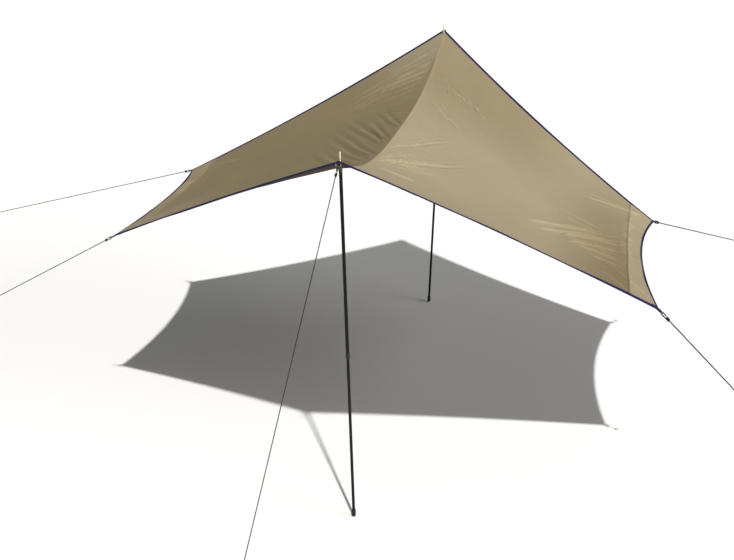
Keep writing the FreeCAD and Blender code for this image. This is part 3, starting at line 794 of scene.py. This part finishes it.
def fold_height(x, y, start, end, width, height):
    """A raised fold with a shallow trough on each side; it opens out towards its end."""
    run = end - start
    share = np.clip(((x - start[0]) * run[0] + (y - start[1]) * run[1]) / (run @ run), 0, 1)
    away = np.hypot(x - start[0] - share * run[0], y - start[1] - share * run[1])
    wave = width * (0.7 + 0.6 * share)
    taper = smooth(share / 0.15) * smooth((1 - share) / 0.55)
    return height * taper * np.cos(2 * np.pi * away / wave) * np.exp(-1.4 * (away / wave) ** 2)


# Long low waves over the whole cloth: heading, radians per metre, phase
SWELLS = [
    (RNG.uniform(0, 2 * np.pi), 2 * np.pi / RNG.uniform(0.35, 1.1), RNG.uniform(0, 6.28))
    for _ in range(12)
]


def folds_at(wing, x, y):
    """How far the folds alone lift the cloth at distances on it, in metres."""
    height = np.zeros(len(x))
    for start, end, width, rise in FOLDS[wing]:
        first, last = chart(wing, *start), chart(wing, *end)
        middle, width, rise = (first + last) / 2, width * FOLD_NARROW * MM, rise * FOLD_RISE * MM
        reach = np.linalg.norm(last - first) / 2 + 2.2 * width
        near = np.nonzero((np.abs(x - middle[0]) < reach) & (np.abs(y - middle[1]) < reach))[0]
        height[near] += fold_height(x[near], y[near], first, last, width, rise)
    return height


def cloth_height(wing, u, v):
    """How far folds and slack lift the cloth off its taut surface, in metres."""
    shape = np.broadcast(u, v).shape
    u = np.broadcast_to(u, shape).ravel()
    v = np.broadcast_to(v, shape).ravel()
    x, y = chart(wing, u, v).T
    height = folds_at(wing, x, y)
    if wing == "left":
        arch = smooth(u / 0.10) * smooth((0.36 - u) / 0.24)
        height += ARCH * arch * smooth(v / 0.10) * smooth((0.80 - v) / 0.60)
    for heading, rate, phase in SWELLS:
        wave = (x * math.cos(heading) + y * math.sin(heading)) * rate + phase
        height += SWELL_HEIGHT * np.sin(wave)
    firm = smooth(y / 0.03) * smooth((WIDTH[wing] - y) / 0.02)
    to_edge = np.minimum(u, 1 - u) * length_at(wing, v)
    return (height * firm * smooth(to_edge / 0.05)).reshape(shape)


def cloth_normal(wing, u, v):
    """The taut surface's upward normal; it turns upright where both wings meet."""
    step = 0.004
    along = base_point(wing, u + step, v) - base_point(wing, u - step, v)
    down = base_point(wing, u, v + step) - base_point(wing, u, v - step)
    normal = unit(np.cross(down, along))
    normal *= np.sign(normal[..., 2:3])
    upright = np.exp(-((np.broadcast_to(v, normal.shape[:-1]) * WIDTH[wing] / RIDGE_BLEND) ** 2))
    flat = unit(normal * np.array([0, 1, 1]))
    return unit(normal * (1 - upright[..., None]) + flat * upright[..., None])


def cloth_point(wing, u, v, lift=0.0):
    """A point on the folded cloth, or lifted off it by a distance in metres."""
    height = cloth_height(wing, u, v) + lift
    return base_point(wing, u, v) + cloth_normal(wing, u, v) * height[..., None]


# ------------------------------------------------------------------ canopy, edges and seams

def lines_of_v():
    """Where the cloth's lines lie from the ridge to an edge, closer together near the seams."""
    near_ridge = np.linspace(0, 0.04, 16, endpoint=False)
    middle = np.linspace(0.04, 0.86, 130, endpoint=False)
    near_seam = np.linspace(0.86, 0.985, 46, endpoint=False)
    return np.concatenate([near_ridge, middle, near_seam, [0.985, 0.992, 0.997, 1.0]])


def grommet_centre(end):
    """The middle of a peak's grommet on the taut cloth, and its upward axis."""
    inset = GROMMET_INSET / SPAN
    u = inset if end == "front" else 1 - inset
    step = inset / 2
    along = base_point("left", u + step, 0.0) - base_point("left", u - step, 0.0)
    return base_point("left", u, 0.0), unit(np.cross([1, 0, 0], along))


def clear_of(points, centre, radius):
    """Which squares of a grid of points lie outside a radius round a centre."""
    middles = (points[:-1, :-1] + points[1:, 1:]) / 2
    return np.linalg.norm(middles - centre, axis=-1) > radius


def build_canopy():
    """Both wings as one sheet, with a hole at each grommet, thickened by a modifier."""
    edge_u = np.array([0, 0.0012, 0.003, 0.006])
    u = np.concatenate([edge_u, np.linspace(0.01, 0.99, 420), 1 - edge_u[::-1]])
    v = lines_of_v()
    sides, fold_shades = {}, {}
    for wing in WINGS:
        sides[wing] = cloth_point(wing, u[:, None], v[None, :])
        x, y = chart(wing, u[:, None] + 0 * v[None], 0 * u[:, None] + v[None]).reshape(-1, 2).T
        fold_shades[wing] = folds_at(wing, x, y).reshape(len(u), len(v))
    points = np.concatenate([sides["left"][:, ::-1], sides["right"][:, 1:]], axis=1)
    signed = np.concatenate([-v[::-1], v[1:]])
    lengths = np.where(signed < 0, *(length_at(wing, np.abs(signed)) for wing in WINGS))
    widths = np.where(signed < 0, WIDTH["left"], WIDTH["right"])
    uv = np.stack(np.broadcast_arrays((u[:, None] - 0.5) * lengths, signed * widths), -1)

    front_hole, back_hole = (
        clear_of(points, grommet_centre(end)[0], GROMMET_HOLE) for end in ENDS
    )
    keep = front_hole & back_hole
    faces = [face[::-1] for face in grid_faces(len(u), len(signed), keep=keep)]
    cloth = make_mesh("canopy_cloth", points, faces, uv, closed=False)

    for slot in ("canopy_cloth", "end_panel_cloth", "under_cloth"):
        cloth.data.materials.append(MATERIALS[slot])
    beyond = (np.abs(signed[:-1] + signed[1:])[None] / 2 > seam_v(u[:-1, None]))[keep]
    cloth.data.polygons.foreach_set("material_index", beyond.astype(np.int32))
    # Each fold's height, kept for the painted highlights on the crests and the painted shade in the troughs
    fold_shade = np.concatenate([fold_shades["left"][:, ::-1], fold_shades["right"][:, 1:]], axis=1)
    layer = cloth.data.attributes.new("fold_shade", "FLOAT", "POINT")
    layer.data.foreach_set("value", np.clip(fold_shade / CREST, -1, 1).astype(np.float32).ravel())
    # The underside and the cut rims take the third material, which is painted shade
    thicken = cloth.modifiers.new("thickness", "SOLIDIFY")
    thicken.thickness = 2 * CLOTH_HALF
    thicken.offset = 0
    thicken.material_offset = 2
    thicken.material_offset_rim = 2
    nodes = [wing + part for wing in WINGS for part in ("_panel", "_end_panel")]
    return finish_piece(cloth, "canopy", "canopy_cloth", *nodes)


def canopy_uv(wing, u, v):
    """The canopy's own texture coordinates: metres along it and out from the ridge."""
    side = -1 if wing == "left" else 1
    return chart(wing, u, v) * np.array([1, side])


STRIP_ROWS = 330


def strip_on_cloth(name, wing, line, section, on_chart=False):
    """A closed band that follows the cloth. line(s, a) gives (u, v) for a share s of the way
    along it and a distance a across it; section lists (a, height above the cloth). Its texture
    runs along the band, or on_chart as the canopy's does."""
    section = np.array(section)
    shares = np.linspace(0, 1, STRIP_ROWS)
    u, v = line(shares[:, None], section[None, :, 0])
    skin = cloth_point(wing, u, v, section[None, :, 1])
    strip = make_tube(name, skin, distances_along(skin.mean(axis=1)), distances_along(section))
    if on_chart:
        set_uvs(strip.data, canopy_uv(wing, u, v))
    return strip


SLANT = math.cos(math.radians(30))      # the cut edges cross the lines of u at about 30 degrees
BINDING_WIDTHS = {"front": 0.030, "back": 0.022, "end": 0.014}
BINDING_THICK = 0.0040
STITCH_INSET = 0.004        # from a binding's inner edge to its stitches


def edge_line(wing, place):
    """line(s, a) for a wing's front, back or end edge, with a measured in from the edge."""
    def line(s, a):
        s, a = np.broadcast_arrays(s, a)
        if place == "end":
            inset = 0.15 * BINDING_WIDTHS["front"] / SLANT / length_at(wing, 1.0)
            return inset + s * (1 - 2 * inset), 1 - a / WIDTH[wing]
        u = a / SLANT / length_at(wing, s)
        return (u, s) if place == "front" else (1 - u, s)
    return line


def binding_section(width):
    """A tape folded over the cut edge: flat on both faces and round at the fold."""
    w, t = width, BINDING_THICK
    upper = [
        (w, 0.3 * t), (w - 0.0004, 0.75 * t), (w - 0.002, 0.85 * t), (w - 0.004, 0.72 * t),
        (w / 2, 0.95 * t), (0.003, t), (0.001, 0.85 * t), (-0.0004, 0.45 * t), (-0.0008, 0),
    ]
    lower = [(a, -h) for a, h in upper[::-1][1:]]
    return upper + lower


def build_bindings():
    """A folded binding on each of the six cut edges, with a row of stitches."""
    for wing in WINGS:
        for place, width in BINDING_WIDTHS.items():
            name = f"{wing}_{place}_binding"
            line = edge_line(wing, place)
            strip = strip_on_cloth(name + "_tape", wing, line, binding_section(width))
            finish_piece(strip, "canopy", "edge_binding", name)
            stitch_line = on_line(line, width - STITCH_INSET)
            stitches(name, wing, stitch_line, BINDING_THICK * 0.75, "binding_thread")


def on_line(line, across):
    """The part of a line(s, a) at one distance across it."""
    return lambda s: line(s, across)


STITCH_PITCH = 0.0042
STITCH_AHEAD = 0.004        # how far ahead a stitch looks for its direction
STITCH_HALF = 0.0015
STITCH_THICK = 0.00042
# A stitch's points (share of half its length, sideways, upwards) and its faces
STITCH_POINTS = [
    (-1, 0, -1), (-0.6, 1, 0.6), (-0.6, -1, 0.6), (0.6, 1, 0.6), (0.6, -1, 0.6), (1, 0, -1),
]
STITCH_FACES = [(0, 1, 2), (1, 3, 4, 2), (3, 5, 4), (0, 3, 1), (0, 5, 3), (0, 2, 4), (0, 4, 5)]


def stitches(name, wing, path, lift, thread):
    """A row of small raised stitches along path(s), which gives (u, v)."""
    shares = np.linspace(0, 1, 400)
    track = cloth_point(wing, *path(shares), lift)
    along = distances_along(track)

    def track_at(distances):
        return np.stack([np.interp(distances, along, track[:, k]) for k in range(3)], -1)

    count = int(along[-1] / STITCH_PITCH)
    at = (np.arange(count) + 0.5) * STITCH_PITCH
    middle = track_at(at)
    ahead = unit(track_at(at + STITCH_AHEAD) - middle + 1e-9)
    normal = cloth_normal(wing, *path(np.interp(at, along, shares)))
    side = unit(np.cross(normal, ahead))
    points = np.stack([
        middle + ahead * (a * STITCH_HALF) + side * (b * STITCH_THICK) + normal * (c * STITCH_THICK)
        for a, b, c in STITCH_POINTS
    ], 1)
    size = len(STITCH_POINTS)
    faces = [tuple(size * i + k for k in face) for i in range(count) for face in STITCH_FACES]
    row = make_mesh(name + "_stitches", points, faces)
    finish_piece(row, "canopy", "canopy_cloth", material=thread)


def seam_line(wing, v_middle, margin=0.0):
    """line(s, a) along the cloth at v_middle, from a margin inside one binding to the other."""
    def line(s, a):
        s, a = np.broadcast_arrays(s, a)
        u_margin = (BINDING_WIDTHS["front"] / SLANT + margin) / length_at(wing, v_middle)
        u = u_margin + s * (1 - 2 * u_margin)
        v = v_middle + a / WIDTH[wing] + (seam_v(u) - SEAM_V) * (v_middle > 0)
        return u, v
    return line


def felled_section(low, high, thick):
    """A flat felled seam: a doubled strip with soft edges, from low to high across."""
    return [
        (low - 0.0006, -0.0004), (low, 0.55 * thick), (low + 0.001, 0.9 * thick),
        (low + 0.003, 0.8 * thick), ((low + high) / 2, thick), (high - 0.003, 0.8 * thick),
        (high - 0.001, 0.9 * thick), (high, 0.55 * thick), (high + 0.0006, -0.0004),
    ]


def build_seams():
    """The ridge tape and the seam of each end panel, with two rows of stitches each."""
    tape_width, ridge_inset, end_inset = 0.024, 0.0035, 0.0034
    line = seam_line("right", 0.0, margin=0.013)
    section = felled_section(0.0008, tape_width, 0.0021)
    strip = strip_on_cloth("ridge_seam_tape", "right", line, section, on_chart=True)
    finish_piece(strip, "canopy", "canopy_cloth", "ridge_tape", material="seam_cloth")
    for label, across in (("upper", ridge_inset), ("lower", tape_width - ridge_inset)):
        stitches(f"ridge_{label}", "right", on_line(line, across), 0.0018, "cloth_thread")
    for wing in WINGS:
        line = seam_line(wing, SEAM_V)
        section = felled_section(-0.006, 0.006, 0.0022)
        strip = strip_on_cloth(wing + "_end_seam", wing, line, section, on_chart=True)
        finish_piece(strip, "canopy", "canopy_cloth", material=wing + "_seam_cloth")
        for label, across in (("upper", -end_inset), ("lower", end_inset)):
            path = on_line(line, across)
            stitches(f"{wing}_end_seam_{label}", wing, path, 0.0019, "cloth_thread")


def patch_on_cloth(name, wing, corners, lift, material, opening=None):
    """A doubled layer of cloth between four corners in (u, v), cut away round an opening's
    centre where one is given."""
    rows = 64
    s, t = np.meshgrid(np.linspace(0, 1, rows), np.linspace(0, 1, rows), indexing="ij")
    a, b, c, d = (np.array(corner) for corner in corners)
    s3, t3 = s[..., None], t[..., None]
    u, v = np.moveaxis((a * (1 - s3) + b * s3) * (1 - t3) + (d * (1 - s3) + c * s3) * t3, -1, 0)
    rim = np.minimum(np.minimum(s, 1 - s), np.minimum(t, 1 - t))
    height = lift * smooth(rim * rows / 1.2 + 0.35)
    points = cloth_point(wing, u, v, height)
    keep = None if opening is None else clear_of(points, opening, PATCH_OPENING)
    faces = grid_faces(rows, rows, keep=keep)
    patch = make_mesh(name, points, faces, canopy_uv(wing, u, v), closed=False)
    if patch.data.polygons[0].normal.z < 0:
        patch.data.flip_normals()
    thicken = patch.modifiers.new("thickness", "SOLIDIFY")
    thicken.thickness = 0.0008
    thicken.offset = -1 if lift > 0 else 1
    patch.data.materials.append(MATERIALS[material])
    return patch


CORNER_PATCH = 0.170        # how far the patches reach from the bindings
PEAK_PATCH = 0.430
CORNER_LIFT = 0.0022
PEAK_LIFT = -0.0045         # the peak's patches lie under the cloth


def inside_binding(wing, end, distance, v):
    """(u, v) of the point at v that is a distance in from a front or back binding's edge."""
    u = float((distance + (BINDING_WIDTHS[end] - 0.003) / SLANT) / length_at(wing, v))
    return (u if end == "front" else 1 - u), v


def build_patches():
    """Doubled cloth inside each corner and each peak, stitched round its free sides."""
    for wing in WINGS:
        bottom = 1 - (BINDING_WIDTHS["end"] - 0.002) / WIDTH[wing]
        top = bottom - CORNER_PATCH / WIDTH[wing]
        outline = [(0, bottom), (CORNER_PATCH, bottom), (CORNER_PATCH * 0.42, top), (0, top)]
        for end in ENDS:
            corners = [inside_binding(wing, end, *place) for place in outline]
            name = f"{end}_{wing}_corner_patch"
            patch = patch_on_cloth(name + "_cloth", wing, corners, CORNER_LIFT, "patch_cloth")
            finish_piece(patch, "canopy", "patch_cloth", name)
            inner = shrunk(corners, 0.93)
            stitches(name, wing, polyline(inner[1:] + inner[:1]), 0.0026, "cloth_thread")
    for end in ENDS:
        for wing in WINGS:
            low = PEAK_PATCH / WIDTH[wing]
            outline = [(0, 0.0), (PEAK_PATCH, 0.0), (0.020, low), (0, low)]
            corners = [inside_binding(wing, end, *place) for place in outline]
            name = f"{end}_{wing}_peak_patch"
            opening = grommet_centre(end)[0]
            # The peak patches under the cloth take the underside's painted shade
            patch = patch_on_cloth(name, wing, corners, PEAK_LIFT, "under_cloth", opening)
            finish_piece(patch, "canopy", "patch_cloth")
            stitches(name, wing, polyline(shrunk(corners, 0.95)[1:3]), 0.0009, "cloth_thread")
        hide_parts(end + "_peak_patch")


def shrunk(corners, share):
    """Corners moved towards their middle."""
    middle = np.mean(corners, axis=0)
    return [tuple(middle + (np.array(corner) - middle) * share) for corner in corners]
    return tuple(middle + (np.array(corner) - middle) * share)


def polyline(corners):
    """path(s) along straight runs between corners in (u, v)."""
    corners = np.array(corners)

    def path(s):
        at = np.linspace(0, 1, len(corners))
        return np.interp(s, at, corners[:, 0]), np.interp(s, at, corners[:, 1])
    return path


# ------------------------------------------------------------------ fittings

def lathe(name, profile, base, axis, sides=40):
    """A turned piece: profile lists (radius, height) from a base point up along an axis."""
    side = unit(np.cross(axis, [0.13, 0.9, 0.2]))
    turn, around = circle(side, np.cross(axis, side), sides)
    profile = np.array(profile)
    points = base + profile[:, None, 1:] * axis + profile[:, None, :1] * around
    faces = grid_faces(len(profile), sides, closed=True)
    uv = np.stack(np.broadcast_arrays(distances_along(profile)[:, None], turn), -1)
    piece = make_mesh(name, points, faces, uv)
    edges = piece.modifiers.new("edges", "EDGE_SPLIT")
    edges.split_angle = math.radians(38)
    return piece


def build_grommets():
    """A rolled eyelet in each peak: a crowned ring on top, a barrel and a washer below."""
    bore, outer = 0.0088, 0.0146
    profile = [
        (bore, -0.0028), (bore, 0.0006), (bore + 0.0006, 0.0019), (bore + 0.0018, 0.0026),
        (bore + 0.0032, 0.0026), (outer - 0.0012, 0.0019), (outer, 0.0009),
        (outer, 0.0004), (outer - 0.0010, 0.0003), (outer - 0.0010, -0.0012),
        (outer, -0.0014), (outer, -0.0024), (outer - 0.0010, -0.0030),
        (bore + 0.0010, -0.0034), (bore, -0.0028),
    ]
    for end in ENDS:
        ring = lathe(end + "_eyelet", profile, *grommet_centre(end))
        finish_piece(ring, "canopy", "steel", end + "_peak_grommet")


STRAP_HALF = 0.012
STRAP_THICK = 0.0016
STRAP_REACH = 0.016         # from a corner of the canopy to the ring's bar
STRAP_BEND = 0.0040         # the radius of the strap's turn round the bar
STRAP_BLEND = 0.012         # how far in from the corner the strap comes to lie on the cloth
CORNER_SEWN = 0.055         # how much of a strap is sewn on at a corner and at a peak
PEAK_SEWN = 0.016
CORNER_HEADING = (0.62, 0.78)           # a corner strap's way in: along the end and to the ridge


def strap_loop(name, origin, directions, wing_place, inboard):
    """A webbing strap, sewn on and under the cloth, that turns round a ring's bar.

    wing_place(distance) gives the point of the cloth that lies a distance in from the corner,
    and the cloth's normal there.
    """
    middle, normals = [], []

    def add_sewn(shares, on_cloth, side):
        for share in shares:
            place, normal = wing_place(share * inboard)
            blend = smooth(share * inboard / STRAP_BLEND)
            lift = on_cloth * blend + STRAP_BEND * (1 - blend)
            normal = side * unit(normal * blend + directions[2] * (1 - blend))
            middle.append(place + normal * lift)
            normals.append(normal)

    add_sewn(np.linspace(1, 0, 10), 0.0030, 1)
    for turn in np.radians(np.linspace(90, -90, 13)):
        outward = math.cos(turn) * directions[0] + math.sin(turn) * directions[2]
        middle.append(origin + STRAP_REACH * directions[0] + outward * STRAP_BEND)
        normals.append(outward)
    add_sewn(np.linspace(0, 1, 10), 0.0026, -1)
    middle, normals = np.array(middle), np.array(normals)
    half, inner = STRAP_HALF, STRAP_HALF - 0.0006
    section = [
        (-half, 0), (-inner, 0.5), (0, 0.56), (inner, 0.5),
        (half, 0), (inner, -0.5), (0, -0.5), (-inner, -0.5),
    ]
    points = np.stack([
        middle + directions[1] * a + normals * (b * STRAP_THICK) for a, b in section
    ], 1)
    across = np.array([a for a, _ in section])
    strap = make_tube(name + "_strap", points, distances_along(middle), across)
    finish_piece(strap, "canopy", "webbing", name + "_webbing")


def from_corner(end, wing):
    """place_at(distance) in from a corner: the cloth's point and its normal there."""
    def place_at(distance):
        u = distance * CORNER_HEADING[0] / length_at(wing, 1.0)
        u = u if end == "front" else 1 - u
        v = 1 - distance * CORNER_HEADING[1] / WIDTH[wing]
        return cloth_point(wing, u, v), cloth_normal(wing, u, v)
    return place_at


def from_peak(end):
    """place_at(distance) in from a peak along the ridge."""
    def place_at(distance):
        u = distance / SPAN if end == "front" else 1 - distance / SPAN
        return base_point("right", u, 0.0), cloth_normal("right", u, 0.0)
    return place_at


def build_straps():
    """The six webbing loops; the sewn part of each follows the cloth inwards."""
    down, back = np.array([0.0, 0.0, -1.0]), np.array([0.0, 1.0, 0.0])
    for name in GUY_NAMES:
        origin, directions, _ = guy_frame(name)
        if name == "front":
            strap_loop(name, origin, directions, from_peak(name), PEAK_SEWN)
        else:
            strap_loop(name, origin, directions, from_corner(*name.split("_")), CORNER_SEWN)
    directions = np.array([down, np.cross(back, down), back])
    strap_loop("back", PEAKS["back"], directions, from_peak("back"), PEAK_SEWN)


def pole_axis(end):
    """A pole's upward direction, from its telescoping joint."""
    joint = next(j for j in frame["joints"] if j["name"] == end + "_pole_telescope")
    return unit(joint["axis"])


def along_pole(end, node):
    """The lowest point of a CAD piece of a pole on the pole's axis, and the piece's length."""
    axis = pole_axis(end)
    spots = np.array([v.co for v in frame["nodes"][node].data.vertices])
    heights = spots @ axis
    centre = spots - heights[:, None] * axis
    middle = (centre.max(0) + centre.min(0)) / 2
    middle = middle - (middle @ axis) * axis
    return middle + heights.min() * axis, heights.max() - heights.min()


def spike_profile(length):
    """A shoulder that carries the grommet, and a thinner free end with a round point."""
    r, shoulder, shoulder_top, point = 0.0040, 0.0045, 0.072, length - 0.0095
    profile = [(0.0001, 0), (shoulder, 0.0005), (shoulder, shoulder_top),
               (r, shoulder_top + 0.0005), (r, point)]
    angles = np.linspace(0, math.pi / 2 * 0.98, 8)[1:]
    return profile + [(r * math.cos(a), point + 0.0093 * math.sin(a)) for a in angles]


def collar_profile(length):
    """A knob with two grooves and a domed top that the spike comes out of."""
    r, opening = 0.0120, 0.0047
    barrel = length - r
    profile = [
        (r - 0.0012, 0), (r, 0.0010), (r, 0.0060), (r - 0.0010, 0.0068), (r - 0.0010, 0.0090),
        (r, 0.0098), (r, barrel - 0.004), (r - 0.0008, barrel - 0.0034),
        (r - 0.0008, barrel - 0.0020), (r, barrel - 0.0014),
    ]
    angles = np.linspace(0, math.acos(opening / r), 9)
    return profile + [(r * math.cos(a), barrel + r * math.sin(a)) for a in angles]


def sleeve_profile(length):
    """A trim sleeve with ribs for the hand that turns the lock."""
    r, ribs = 0.0120, 9
    profile = [(0.0095, 0.0002), (r - 0.0014, 0), (r - 0.0004, 0.0010)]
    for i in range(ribs):
        start = 0.0020 + i * (length - 0.0060) / ribs
        profile += [(r, start), (r, start + 0.0016), (r - 0.0009, start + 0.0020),
                    (r - 0.0009, start + 0.0028)]
    return profile + [(r - 0.0006, length - 0.0022), (r - 0.0012, length - 0.0004), (0.0106, length)]


def foot_profile(length):
    """A rubber foot with a round sole and four grooves."""
    r, grooves = 0.0130, 4
    profile = [(r * math.sin(a), r - r * math.cos(a)) for a in np.linspace(0.02, math.pi / 2, 12)]
    for i in range(grooves):
        start = r + 0.004 + i * 0.0055
        profile += [(r, start), (r - 0.0010, start + 0.0008), (r - 0.0010, start + 0.0022),
                    (r, start + 0.0030)]
    return profile + [(r, length - 0.0022), (r - 0.0015, length - 0.0004), (0.0093, length)]


# Turned parts of a pole: half of the pole, slot, profile, sides
POLE_PARTS = {
    "spike": ("upper", "spike_steel", spike_profile, 28),
    "collar": ("upper", "pole_collar", collar_profile, 40),
    "sleeve": ("upper", "pole_plastic", sleeve_profile, 40),
    "foot": ("lower", "foot_rubber", foot_profile, 40),
}


def build_pole_fittings():
    """The detailed collar, spike, sleeve and foot of each pole; its tubes stay as they are."""
    for end in ENDS:
        for part, (half, slot, profile, sides) in POLE_PARTS.items():
            node = f"{end}_pole_{part}"
            base, length = along_pole(end, node)
            piece = lathe(f"{end}_{part}", profile(length), base, pole_axis(end), sides)
            finish_piece(piece, f"{end}_pole_{half}", slot, node)


KEPT_NODES = {
    "pole_tube": [end + "_pole_upper_tube" for end in ENDS],
    "lower_tube": [end + "_pole_lower_tube" for end in ENDS],
    "pole_plastic": [end + "_pole_lock_plug" for end in ENDS],
    "steel": [name + "_ring" for name in (*GUY_NAMES, "back")],
    "runner_plastic": [name + "_tensioner" for name in GUY_NAMES],
    "peg_steel": [name + "_peg" for name in GUY_NAMES],
}


def dress_cad_nodes():
    """A detailed material for each CAD node that stays as it is."""
    for material, names in KEPT_NODES.items():
        for name in names:
            node = frame["nodes"][name]
            node.data.materials.clear()
            node.data.materials.append(MATERIALS[material])


RIGHT_CLOTH = (0.328, 0.277, 0.183)
# Painted shade: the underside, its cut rims and the peak patches under the cloth are coloured far darker than the
# top
UNDERSIDE_SHADE = (0.048, 0.030, 0.006)
# What makes each material, and what it is given after the material's name
RECIPES = {
    "canopy_cloth": (cloth_material, RIGHT_CLOTH, tuple(c * 0.94 for c in RIGHT_CLOTH)),
    "end_panel_cloth": (
        cloth_material, (0.352, 0.296, 0.198), (0.330, 0.277, 0.184), PANEL_SHADE_TINTS,
    ),
    "under_cloth": (cloth_material, UNDERSIDE_SHADE, tuple(c * 0.9 for c in UNDERSIDE_SHADE), EVEN_TINTS),
    "patch_cloth": (cloth_material, (0.350, 0.294, 0.196), (0.326, 0.273, 0.181), PANEL_SHADE_TINTS),
    "seam_cloth": (cloth_material, (0.36, 0.292, 0.19), (0.32, 0.26, 0.165)),
    "left_seam_cloth": (cloth_material, (0.345, 0.278, 0.18), (0.325, 0.26, 0.165)),
    # Painted shade: the right wing's end seam is coloured darker and greener than the same seam on the left wing
    "right_seam_cloth": (cloth_material, (0.235, 0.222, 0.145), (0.21, 0.198, 0.128)),
    "edge_binding": (tape_material, (0.013, 0.013, 0.072), (0.008, 0.008, 0.046)),
    "webbing": (tape_material, (0.018, 0.018, 0.060), (0.011, 0.011, 0.038)),
    "binding_thread": (moulded_material, (0.014, 0.014, 0.065), 0.8),
    "cloth_thread": (moulded_material, (0.30, 0.25, 0.16), 0.7),
    "steel": (metal_material, (0.30, 0.29, 0.27), 0.45),
    "spike_steel": (metal_material, (0.84, 0.80, 0.52), 0.42),
    "peg_steel": (metal_material, (0.50, 0.50, 0.50), 0.38),
    "pole_collar": (moulded_material, (0.030, 0.030, 0.024), 0.6),
    "pole_tube": (paint_material, (0.006, 0.006, 0.005), (0.030, 0.030, 0.026)),
    "lower_tube": (paint_material, (0.008, 0.008, 0.007), (0.035, 0.035, 0.030)),
    "pole_plastic": (moulded_material, (0.008, 0.008, 0.008), 0.6),
    "foot_rubber": (moulded_material, (0.008, 0.008, 0.008), 0.8),
    "runner_plastic": (moulded_material, (0.014, 0.014, 0.014), 0.6),
    "guy_line": (rope_material, (0.030, 0.029, 0.016), (0.055, 0.052, 0.030), 0.003),
    "storm_guy": (rope_material, (0.006, 0.006, 0.006), (0.018, 0.018, 0.018), 0.004),
}


# ------------------------------------------------------------------ the whole scene

make_camera()
make_light()
make_floor()
MATERIALS = {name: make(name, *given) for name, (make, *given) in RECIPES.items()}
build_guys()
add_puckers()
canopy = build_canopy()
build_bindings()
build_seams()
build_patches()
build_grommets()
build_straps()
build_pole_fittings()
dress_cad_nodes()
